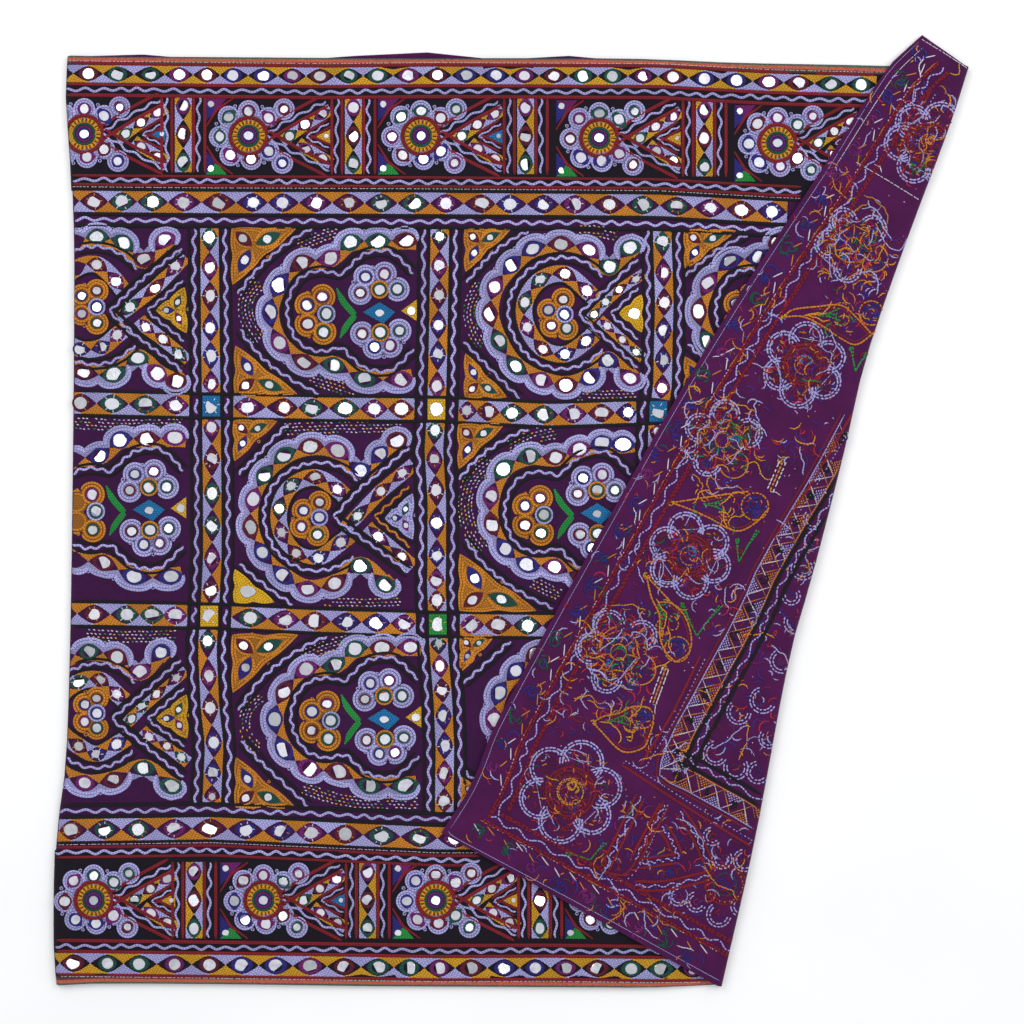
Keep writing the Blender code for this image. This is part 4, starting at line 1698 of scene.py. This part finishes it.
reverse = {
    "edge": 2.9,  # the machine stitch, from the free edge
    "secondEdge": (9.8, 150),
    "long": 31.0,
    "wave": (38.0, 2.5, 23.6),
    "red": (31.5, 45.0),
    "pitch": 30.0,
    "flowers": ((803, 366, 43, 20, "sky"), (689, 556, 43, 35, "sky"), (570, 791, 52, 10, "gold"),
                (927, 146, 44, 60, "orange")),
    "mixedFlowers": ((852, 246, 40), (722, 441, 42), (618, 652, 45)),
    "cones": (
        ((783, 318), ((792, 311), (815, 308), (840, 306.7), (855.6, 319.5), (869.6, 334.8)),
         ((802, 318), (821, 327), (840, 340), (855.6, 345.6), (874.7, 332)), (869.6, 314.4, 12)),
        ((671, 503.3), ((689, 500.5), (706.7, 497.6), (732, 494), (748, 492)),
         ((688.9, 509.7), (709, 518.6), (734.8, 531.4), (754, 523.7), (768, 508.4)), (754, 507, 13.5)),
        ((645.9, 576.6), ((654.8, 585.5), (671.4, 603.4), (684, 616), (690.5, 636.5), (688, 653), (675, 662)),
         ((651, 598), (658.6, 614.8), (659.3, 636.5), (665, 651.8), (675, 662)), (676.5, 649.3, 12.5)),
        ((593, 722), ((603, 716), (618, 713), (634, 706), (650, 708)),
         ((600, 730), (621.6, 750.7), (642, 747.5), (648.4, 736), (653, 722)), (642, 717, 11)),
    ),
    "leaves": (((849, 348), (854, 372), (865, 353)), ((735, 538), (738, 562), (756, 530)),
               ((680, 603), (696, 636), (719, 605)), ((566, 851), (590, 859), (604, 841)),
               ((911, 166), (916, 176), (925, 160))),
    "bars": (((782, 462), (769, 492)), ((665, 668), (652, 704))),
    "field": ((852, 420), (828, 465), (814, 490), (798, 516), (780, 547), (763.5, 577), (754, 600), (734, 640),
              (714, 676), (700, 702), (684.5, 729), (672, 757), (668, 771), (690, 781), (711, 793), (735, 806),
              (758, 820), (784, 834)),
    "fieldLines": ((9.8, "orange", 1.3), (-9.8, "lilac", 1.3), (13.0, "black", 3.6), (23.5, "black", 4.0),
                   (-13.5, "red", 1.8)),
    "insideArcs": ((802, 568, 12), (795, 622, 12), (781, 661, 12), (762, 700, 13), (738, 712, 12), (714.8, 752.8, 12),
                   (735, 767, 12), (757, 772, 11), (768, 738, 10), (812, 520, 10), (790, 596, 9)),
    "borderLegs": (((663.8, 803.8), (639.9, 848.5), (634.3, 858.8)), ((678.2, 810.2), (695.7, 835.7), (708.5, 864.4)),
                   ((660.6, 826), (668.6, 835.7), (678.2, 856.4)), ((638.3, 862.8), (658, 860), (678.2, 857.2)),
                   ((634.3, 884.3), (655, 885), (675, 882.7), (708.5, 874.8)), ((640, 795), (622, 832), (604, 868))),
    "borderArcs": ((711.6, 835.7, 9), (721, 858, 10), (743.5, 859.6, 11), (678, 894.7, 10), (695.7, 901, 10),
                   (718, 913.8, 12), (741, 905, 11)),
    "redRuns": (((620.7, 764), (689.3, 808.6), (749.9, 845.3)), ((663, 800), (630, 868), (606, 872)),
                ((872, 372), (842, 430), (800, 500), (772, 540)), ((700, 655), (672, 712), (640, 764)),
                ((930, 92), (912, 122), (896, 160), (905, 172))),
    "smallFlower": (724.4, 883.5),
    "seams": (((855, 164), (886, 182), (918, 202)), ((921, 41), (944, 56), (966, 71))),
    "looseEnds": ((922, 58, -1.5, "white", 42), (958, 62, -1.3, "gold", 26), (938, 88, -0.6, "orange", 14),
                  (861, 148, 0.6, "lilac", 20), (873, 166, -1.2, "white", 14), (778, 288, -0.9, "gold", 12),
                  (712, 358, 0.1, "white", 12), (650, 430, -1.2, "orange", 22), (684, 420, 0.6, "gold", 14),
                  (633, 508, -1.2, "white", 18), (705, 492, -0.6, "lilac", 16), (560, 690, -0.8, "gold", 9),
                  (570, 715, 0.6, "white", 10), (545, 775, -0.4, "gold", 16), (630, 800, -1.0, "leaf", 20),
                  (700, 760, 0.5, "white", 12), (596, 760, -0.3, "gold", 14), (775, 520, -0.3, "lilac", 18),
                  (860, 210, -0.3, "lilac", 24), (905, 240, -1.3, "lilac", 30), (620, 905, -0.8, "orange", 12),
                  (661, 905, -0.6, "orange", 14), (694, 935, -0.7, "orange", 16), (676, 944, -0.6, "white", 18),
                  (735, 868, 0.2, "gold", 16), (703, 862, -0.6, "gold", 12), (664, 846, -1.4, "gold", 14),
                  (697, 690, 0.3, "gold", 12)),
    "mixture": ("scarlet", "violet", "lilac", "red", "magenta", "lilac", "amber", "violet"),
    "tangles": ((700, 860, 52, 120), (640, 900, 40, 55), (600, 845, 34, 40), (735, 720, 44, 80), (772, 640, 36, 60),
                (806, 560, 26, 40), (660, 750, 30, 30), (930, 120, 36, 60), (760, 310, 22, 26), (748, 368, 26, 26),
                (640, 560, 20, 20), (830, 190, 24, 30), (880, 300, 26, 40), (800, 440, 30, 30), (590, 700, 26, 36),
                (560, 720, 16, 16), (720, 610, 24, 28), (640, 820, 26, 26)),
    "specks": (520, (560, 940), (90, 940)),
}


def dashes(thread, points, length, gap, width, smooth=True):
    path = Path(curveThrough(points, 2.5) if smooth else points)
    runningLine(thread, path, 0, path.length, 0.0, length + gap, length, width, "back")
    return path


def tuft(thread, x, y, size, strands, width=1.3):
    # a few turns of thread where it was tied off
    for _ in range(strands):
        angle = between(0, 360)
        cx, cy = x + rng.gauss(0, size * 0.3), y + rng.gauss(0, size * 0.3)
        arc = arcPoints(cx, cy, size * between(0.4, 1.0), angle, angle + between(60, 170), 30)
        sew(thread, arc, width * between(0.8, 1.2), between(-0.1, 0.35), "back")


def tangle(x, y, radius, count, threads, inner=0.0, size=(3.0, 9.0)):
    # many short turns of thread, one over another
    for _ in range(count):
        far, angle = radius * sqrt(between(inner, 1.0)), between(0, 6.3)
        start = between(0, 360)
        arc = arcPoints(*polar(x, y, far, angle), between(*size), start, start + between(40, 150), 30)
        sew(oneOf(threads), arc, between(1.0, 1.8), between(-0.1, 0.5), "back")


def looseEnd(thread, x, y, angle, length, width=1.1):
    points = [(x, y)]
    for _ in range(int(length / 3)):
        angle += rng.gauss(0, 0.42)
        points.append(polar(*points[-1], 3, angle))
    sew(thread, points, width, 0.5, "back")


def tieBacks(x, y, radius, threads, count):
    # the short stitches that hold a mirror, seen from behind
    for n in range(count):
        angle = 2 * pi * n / count + between(-0.5, 0.5)
        near = radius * between(0.5, 0.95)
        stitch(oneOf(threads), *polar(x, y, near, angle), angle + between(0.6, 1.4), between(3.0, 5.5), 1.2, 0.3,
               "back")


def backEdgePath():
    # the free edge, from its top to its free corner, then along its lower side
    middleX, middleY = drawing["middle"]
    points = [((x / unit) + middleX, middleY - y / unit) for y, x in reversed(turnedEdge) if x < 0.45]
    corner = min(range(len(points)), key=lambda n: points[n][0])
    down, along = points[:corner + 1:3] + [points[corner]], points[corner:corner + 1] + points[corner + 1::2]
    return Path(curveThrough(down)), Path(curveThrough(along))


def sewBackEdges():
    down, along = backEdgePath()
    for path, first in ((down, True), (along, False)):
        def stretch(off):
            return (2.0, path.length - off) if first else (off, path.length - 1.0)

        start, end = stretch(4.0)
        places = [start + (end - start) * n / 60 for n in range(61)]
        sew("lilac", [path.at(s, reverse["edge"] + 2.4 * ease(s / 200)) for s in places], 0.65, 0.1, "back")
        if first:
            off, upTo = reverse["secondEdge"]
            sew("white", [path.at(n * upTo / 14 + 3, off) for n in range(15)], 0.75, 0.1, "back")
        for off in reverse["red"]:
            start, end = stretch(off)
            for shift in (-0.9, 0.9):
                line = [path.at(mix(start, end, n / 60), off + shift + between(-0.4, 0.4)) for n in range(61)]
                dashes("red", line, 4.2, 0.3, 2.0)
        off, swing, period = reverse["wave"]
        start, end = stretch(off)
        count = int((end - start) / period) * 6
        wave = [path.at(mix(start, end, n / count), off + swing * sin(n * pi / 3 + 0.8 * sin(n * 0.21)))
                for n in range(count + 1)]
        dashes("lilac", wave, 2.8, 0.35, 1.5)
        start, end = stretch(reverse["long"])
        for n in range(int((end - start) / reverse["pitch"])):
            s = start + n * reverse["pitch"] + between(-3, 3)
            off = reverse["long"] - 1.0
            run = [path.at(s + m * 4, off + between(-0.5, 0.5)) for m in range(5)]
            sew("orange", run, 1.2, 0.2, "back")
            runningLine("white", path, s + 17, s + 27, off, 3.0, 1.8, 1.0, "back")
            x, y = path.at(s + 14, off - 4.5)
            stitch(oneOf(("white", "white", "orange")), x, y, path.turn(s) + (0.42 if first else -0.42), 11.5, 1.1, 0.3,
                   "back")
            x, y = path.at(s + between(-2, 2), off - 8.5)
            stitch("white" if n % 3 == 0 else "orange", x, y, path.turn(s) - 0.55, 10.5, 1.1, 0.3, "back")
            x, y = path.at(s + between(4, 9), between(12, 19))
            tuft(oneOf(("blue", "blue", "blue", "magenta", "green")), x, y, 6.5, 8, 2.0)
            tangle(x, y, 12, 5, ("violet", "violet", "scarlet", "green", "lilac", "amber"))


def backFlower(x, y, size, turn, middleThread):
    petals = 6
    for n in range(petals):
        angle = turn + n * 360 / petals + between(-6, 6)
        far, radius = size * 0.60, size * between(0.37, 0.42)
        px, py = polar(x, y, far, radians(angle))
        for shrink in (0.0, 2.9):
            dashes("lilac", arcPoints(px, py, radius - shrink, angle - 115, angle + 115), 3.5, 0.45, 1.7)
        tieBacks(px, py, radius * 0.62, ("red", "red", "orange", "maroon"), 11)
        tuft("maroon", px, py, radius * 0.5, 4, 1.6)
        if rng.random() < 0.6:
            tuft(oneOf(("green", "blue", "red", "orange")), px + between(-4, 4), py + between(-4, 4), 3.5, 3, 1.5)
        joint = polar(x, y, far * 1.18, radians(angle + 30))
        tuft("lilac", *joint, 2.6, 3)
        if n % 2 == 0:
            end = polar(x, y, far * 1.15, radians(angle + 30 + 360 / petals))
            sew("lilac", straight(joint, end), 1.0, 0.35, "back")
    for radius, thread, width in ((size * 0.47, "red", 2.8), (size * 0.40, "red", 2.2), (size * 0.33, "maroon", 2.2)):
        ring = [(a + between(-0.5, 0.5), b + between(-0.5, 0.5)) for a, b in arcPoints(x, y, radius, 0, 360)]
        sew(thread, ring, width, -0.1, "back")
    dashes("blue" if middleThread != "gold" else "gold", arcPoints(x, y, size * 0.25, 0, 360), 2.4, 0.4, 1.4)
    dashes("orange", arcPoints(x, y, size * 0.22, 20, 290), 2.4, 0.4, 1.2)
    tieBacks(x, y, size * 0.18, ("red", "orange", "magenta"), 9)
    tuft("magenta", x, y, size * 0.14, 4, 1.4)
    tuft(middleThread, x + 2, y - 5, 5.0, 8, 1.9)
    looseEnd(oneOf(("green", "leaf", "orange")), x - 3, y + size * 0.3, between(-2.6, 0.2), 22, 1.3)
    tangle(x, y, size * 0.55, 90, ("scarlet", "red", "maroon", "scarlet", "magenta", "amber", "violet"))
    tangle(x, y, size * 0.98, 80, ("scarlet", "lilac", "scarlet", "violet", "lilac", "red", "green"), 0.35, (2.0, 6.0))
    for _ in range(8):
        looseEnd("lilac", *polar(x, y, size * 0.7, between(0, 6.3)), between(0, 6.3), between(14, 34), 1.2)


def backMixedFlower(x, y, size, turn):
    for n in range(5):
        angle = turn + n * 72 + between(-8, 8)
        far, radius = size * 0.62, size * 0.34
        px, py = polar(x, y, far, radians(angle))
        if n < 4:
            for shrink in (0.0, 2.9):
                dashes("lilac", arcPoints(px, py, radius - shrink, angle - 105 + 6 * shrink, angle + 105), 3.3, 0.45,
                       1.7)
        else:
            sew("orange", arcPoints(px, py, radius, angle - 100, angle + 100), 1.6, 0.2, "back")
        tieBacks(px, py, radius * 0.65, ("red", "orange", "magenta", "red"), 11)
        tuft(oneOf(("blue", "green", "magenta")), px, py, 5.0, 5, 1.6)
        looseEnd("lilac", px, py, between(0, 6.2), between(10, 24), 1.4)
    for n in range(7):
        angle = radians(turn + n * 360 / 7 + between(-9, 9))
        after = radians(turn + (n + 1) * 360 / 7)
        a, b, c = polar(x, y, size * 0.18, angle), polar(x, y, size * 0.50, angle), polar(x, y, size * 0.47, after)
        for p, q in ((a, b), (b, c)):
            bend = mixed(p, q, 0.5)
            sew("orange", [p, (bend[0] + between(-2, 2), bend[1] + between(-2, 2)), q], 1.6, between(0.0, 0.4), "back")
        tuft(oneOf(("blue", "blue", "green", "sky")), *mixed(a, c, 0.5), 4.0, 5, 1.7)
        tuft(oneOf(("orange", "gold", "red", "white", "magenta")), *mixed(b, c, 1.4), 3.0, 3, 1.3)
        looseEnd(oneOf(("orange", "red")), *c, between(0, 6.2), between(6, 16), 1.4)
    sew("orange", arcPoints(x, y, size * 0.18, 0, 360, 30), 1.3, 0.1, "back")
    looseEnd("lilac", x - size * 0.5, y - size * 0.4, between(-1.5, 0.5), 36)
    tuft("gold", x - size * 0.45, y - size * 0.2, 4.0, 5, 1.5)
    looseEnd("green", x, y + size * 0.2, between(-0.6, 0.6), 22)
    tangle(x, y, size * 0.8, 130,
           ("scarlet", "red", "amber", "scarlet", "magenta", "violet", "orange", "green", "scarlet", "leaf"))
    tangle(x, y, size * 1.15, 75, ("amber", "lilac", "scarlet", "violet", "orange", "lilac", "violet", "green", "red"),
           0.35)
    for n in range(16):
        angle = n * 0.7 + between(-0.3, 0.3)
        far = size * between(0.5, 1.1)
        thread = ("lilac", "orange", "lilac", "gold", "lilac")[n % 5]
        looseEnd(thread, *polar(x, y, far, angle), angle + between(1.2, 2.4), between(20, 44), 1.4)


def backCone(tip, high, low, wide):
    for side in (high, low):
        path = dashes("orange", (tip,) + side, 3.2, 0.2, 1.8)
        sew("orange", path.run(0, path.length, 0.0, 4.0), 1.2, 0.0, "back")
        sew("red", path.run(path.length * 0.3, path.length, -3.0 if side is high else 3.0, 5.0), 1.6, -0.2, "back")
    tuft("gold", *tip, 2.6, 6, 1.7)
    x, y, radius = wide
    dashes("orange", arcPoints(x, y, radius, 0, 360), 3.0, 0.4, 1.5)
    tuft("blue", x, y, radius * 0.7, 14, 2.1)
    tieBacks(x, y, radius * 0.7, ("orange", "magenta", "red"), 8)
    heart = mixed(tip, (x, y), 0.55)
    d, side = heading(tip, (x, y))
    for lean in (-1, 1):
        points = [Vector(heart) + d * a + side * lean * b for a, b in ((-14, 0.5), (-5, 1.2), (2, 3.6), (9, 6.5))]
        dashes("leaf", points, 2.8, 0.5, 1.5)
        arc = [Vector(heart) + d * a + side * lean * b for a, b in ((2, 6), (6, 11), (13, 11), (17, 6), (15, 2))]
        dashes("orange", arc, 2.8, 0.5, 1.3)
    tuft("leaf", heart[0], heart[1], 2.5, 4, 1.5)
    tangle(*mixed(tip, (x, y), 0.62), radius * 1.9, 36,
           ("amber", "orange", "leaf", "scarlet", "violet", "violet", "gold", "magenta"))
    for _ in range(3):
        looseEnd("amber", *mixed(tip, (x, y), between(0.1, 0.7)), atan2(-d.y, d.x) + between(-0.6, 0.6),
                 between(20, 44), 1.5)


def backBand():
    # the band that runs round the field, from behind
    path = Path(reverse["field"])
    for off, thread, width in reverse["fieldLines"]:
        sew(thread, path.run(0, path.length, off, 6.0), width, -0.1, "back")
    for n in range(int(path.length / 32)):
        s, half = (n + 0.2) * 32, 16
        for thread, lean, shift in (("orange", 1, 0), ("white", -1, 5)):
            zig = [path.at(s + m * half + shift, way * lean * 9.3) for m, way in enumerate((1, -1, 1))]
            sew(thread, straight(zig[0], zig[1]), 1.2, 0.2, "back")
            sew(thread, straight(zig[1], zig[2]), 1.2, 0.3, "back")
        for thread, lean in (("lilac", -1), ("orange", 1)) if n % 2 else (("orange", -1), ("lilac", 1)):
            for row in range(5):
                for m in range(6 - row):
                    at = s + (0 if lean > 0 else half) + 4 + (m + row / 2) * 3.2
                    x, y = path.at(at, lean * (9.0 - row * 1.7) + between(-0.3, 0.3))
                    stitch(thread, x, y, path.turn(s) + between(-0.6, 0.6), 2.0, 1.15, 0.1, "back")
        tuft("black", *path.at(s + half), 4.0, 6, 2.2)
    wave = [path.at(path.length * n / 150, 18.2 + 1.9 * sin(n * 1.05 + sin(n * 0.3))) for n in range(151)]
    dashes("lilac", wave, 2.8, 0.4, 1.5)


def sewReverse():
    sewBackEdges()
    for x, y, size, turn, thread in reverse["flowers"]:
        backFlower(x, y, size, turn, thread)
    for x, y, size in reverse["mixedFlowers"]:
        backMixedFlower(x, y, size, between(0, 72))
    for cone in reverse["cones"]:
        backCone(*cone)
    for a, b, c in reverse["leaves"]:
        for shift in (0.0, 2.6):
            dashes("leaf", [(a[0] + shift, a[1]), mixed(a, b, 0.5), b], 2.8, 0.5, 1.5, False)
            dashes("leaf", [b, mixed(b, c, 0.5), (c[0] + shift, c[1] + shift * 0.4)], 2.8, 0.5, 1.5, False)
        tuft("leaf", a[0] + 1, a[1] + 2, 2.4, 4, 1.5)
        for _ in range(4):
            looseEnd("red", b[0] + between(-8, 8), b[1] - between(4, 16), between(0, 6.2), 9, 1.5)
    for a, b in reverse["bars"]:
        side = heading(a, b)[1]
        for off, thread, width in ((-3.2, "white", 1.2), (3.2, "white", 1.2), (0.0, "orange", 1.7)):
            ends = [tuple(Vector(end) + side * off) for end in (a, b)]
            dashes(thread, straight(ends[0], ends[1]), 3.6, 0.6, width, False)
        tuft("gold", *a, 3.0, 5, 1.5)
        looseEnd("white", b[0], b[1], between(-1.5, 0.0), 14)
    backBand()
    for x, y, radius in reverse["insideArcs"] + reverse["borderArcs"]:
        angle = between(90, 210)
        for shrink in (0.0, 3.2):
            dashes("lilac", arcPoints(x, y, radius - shrink, angle, angle + 230), 3.0, 0.7, 1.4)
        tuft(oneOf(("blue", "green", "magenta")), x, y, 3.5, 3)
        tieBacks(x, y, radius * 0.5, ("red", "maroon", "blue"), 4)
    for leg in reverse["borderLegs"]:
        path = Path(curveThrough(leg, 2.5))
        wave = [path.at(path.length * m / 24, 1.4 * sin(m * 1.2)) for m in range(25)]
        dashes("lilac", wave, 2.8, 0.5, 1.3)
        for off in (-4.5, 4.5):
            sew("red", path.run(0, path.length, off, 5.0), 3.0, -0.1, "back")
        tuft("blue", *path.at(path.length / 2, 9.0), 4.5, 5, 1.8)
    for run in reverse["redRuns"]:
        path = Path(curveThrough(run, 4.0))
        sew("red", path.run(0, path.length, 0.0, 5.0), 2.8, -0.2, "back")
        runningLine("lilac", path, 0, path.length, 5.5, 4.2, 1.7, 1.0, "back")
    x, y = reverse["smallFlower"]
    for radius, thread, width in ((19.9, "red", 2.4), (17.0, "red", 1.6)):
        sew(thread, arcPoints(x, y, radius, 0, 360), width, -0.1, "back")
    dashes("green", arcPoints(x, y, 11, 0, 360), 2.2, 0.5, 1.5)
    dashes("yellow", arcPoints(x, y, 17.5, 0, 360), 1.2, 4.0, 1.0)
    tuft("blue", x, y, 7.0, 6, 1.6)
    for seam in reverse["seams"]:
        dashes("white", seam, 3.4, 0.3, 0.8, False)
    for x, y, angle, thread, length in reverse["looseEnds"]:
        looseEnd(thread, x, y, angle, length, 1.3)
    for x, y, radius, count in reverse["tangles"]:
        tangle(x, y, radius, count, reverse["mixture"])
        for thread in ("lilac", "amber"):
            looseEnd(thread, x + between(-9, 9), y + between(-9, 9), between(0, 6.3), radius, 1.4)
    count, acrossIt, downIt = reverse["specks"]
    for _ in range(count):
        x, y = between(*acrossIt), between(*downIt)
        stitch(oneOf(("lilac", "lilac", "white", "red", "orange")), x, y, between(0, 3.1), between(1.2, 2.4), 0.8, 0.1,
               "back")


sewReverse()
print("reverse sewn")

threadMaterials = {name: threadMaterial(name + " thread", linear(*colour)) for name, colour in threadColours.items()}
for key in sorted(lineStore):
    makeLines(key, threadMaterials[key[0]])
for key in sorted(patchStore):
    makePatches(key, threadMaterials[key[0]])
ringSet, mirrorSet, stitchSet = (
    shapeSet("ring", ringShapes()), shapeSet("disc", mirrorShapes()), shapeSet("stitch", stitchShapes())
)
glass = mirrorMaterial("mirror glass")
for kind in sorted(pointStore):
    if kind[0] == "mirror":
        makeShapes(kind, "mirrors", mirrorSet, glass)
    elif kind[0] == "ring":
        makeShapes(kind, "rings_" + kind[1], ringSet, threadMaterials[kind[1]])
    else:
        makeShapes(kind, "stitches_" + "_".join(kind[1:]), stitchSet, threadMaterials[kind[1]])
for group in [c for c in bpy.data.collections if c.name in ("ring", "disc", "stitch")]:
    for shape in list(group.objects):
        bpy.data.objects.remove(shape)
    bpy.data.collections.remove(group)

studio = {
    "floor": 3.0,  # half its side, in metres
    "camera": (0.0, 0.0, 3.0),
    "lens": 97.7,
    "sensor": 36.0,
    "sky": (0.86, 0.87, 0.90),
    "skyStrength": 0.80,
    "lights": (((-1.6, 1.4, 2.4), 1.6, 30.0), ((1.7, 0.9, 2.2), 1.6, 22.0), ((0.25, 0.3, 3.3), 0.75, 12.0)),
}


def makeFloor():
    half = studio["floor"]
    corners = [(-half, -half, 0), (half, -half, 0), (half, half, 0), (-half, half, 0)]
    mesh = meshFrom("floor", corners, faces=[(0, 1, 2, 3)])
    material = startMaterial("pale floor")
    grain = ramp(cloudy(3.0), 0.3, 0.7)
    finishMaterial(material, blendColour(grain, (0.90, 0.90, 0.90), (0.87, 0.87, 0.87)), Roughness=0.9)
    mesh.materials.append(material)
    floor = linked("floor", mesh)
    floor.location.z = -0.0002


def makeLights():
    for n, (place, size, power) in enumerate(studio["lights"]):
        light = bpy.data.lights.new(f"softbox{n}", "AREA")
        light.shape, light.size, light.energy = "SQUARE", size, power
        lamp = linked(f"softbox{n}", light)
        lamp.location = place
        lamp.rotation_euler = (Vector((0, 0, 0)) - Vector(place)).to_track_quat("-Z", "Y").to_euler()
    world = bpy.data.worlds.new("studio")
    scene.world = world
    world.use_nodes = True
    sky = world.node_tree.nodes["Background"]
    sky.inputs["Color"].default_value = (*studio["sky"], 1)
    sky.inputs["Strength"].default_value = studio["skyStrength"]


def makeCamera():
    lens = bpy.data.cameras.new("camera")
    lens.lens, lens.sensor_width, lens.sensor_fit = studio["lens"], studio["sensor"], "HORIZONTAL"
    camera = linked("camera", lens)
    camera.location = studio["camera"]
    scene.camera = camera


makeFloor()
makeLights()
makeCamera()
scene.view_settings.view_transform = "Standard"
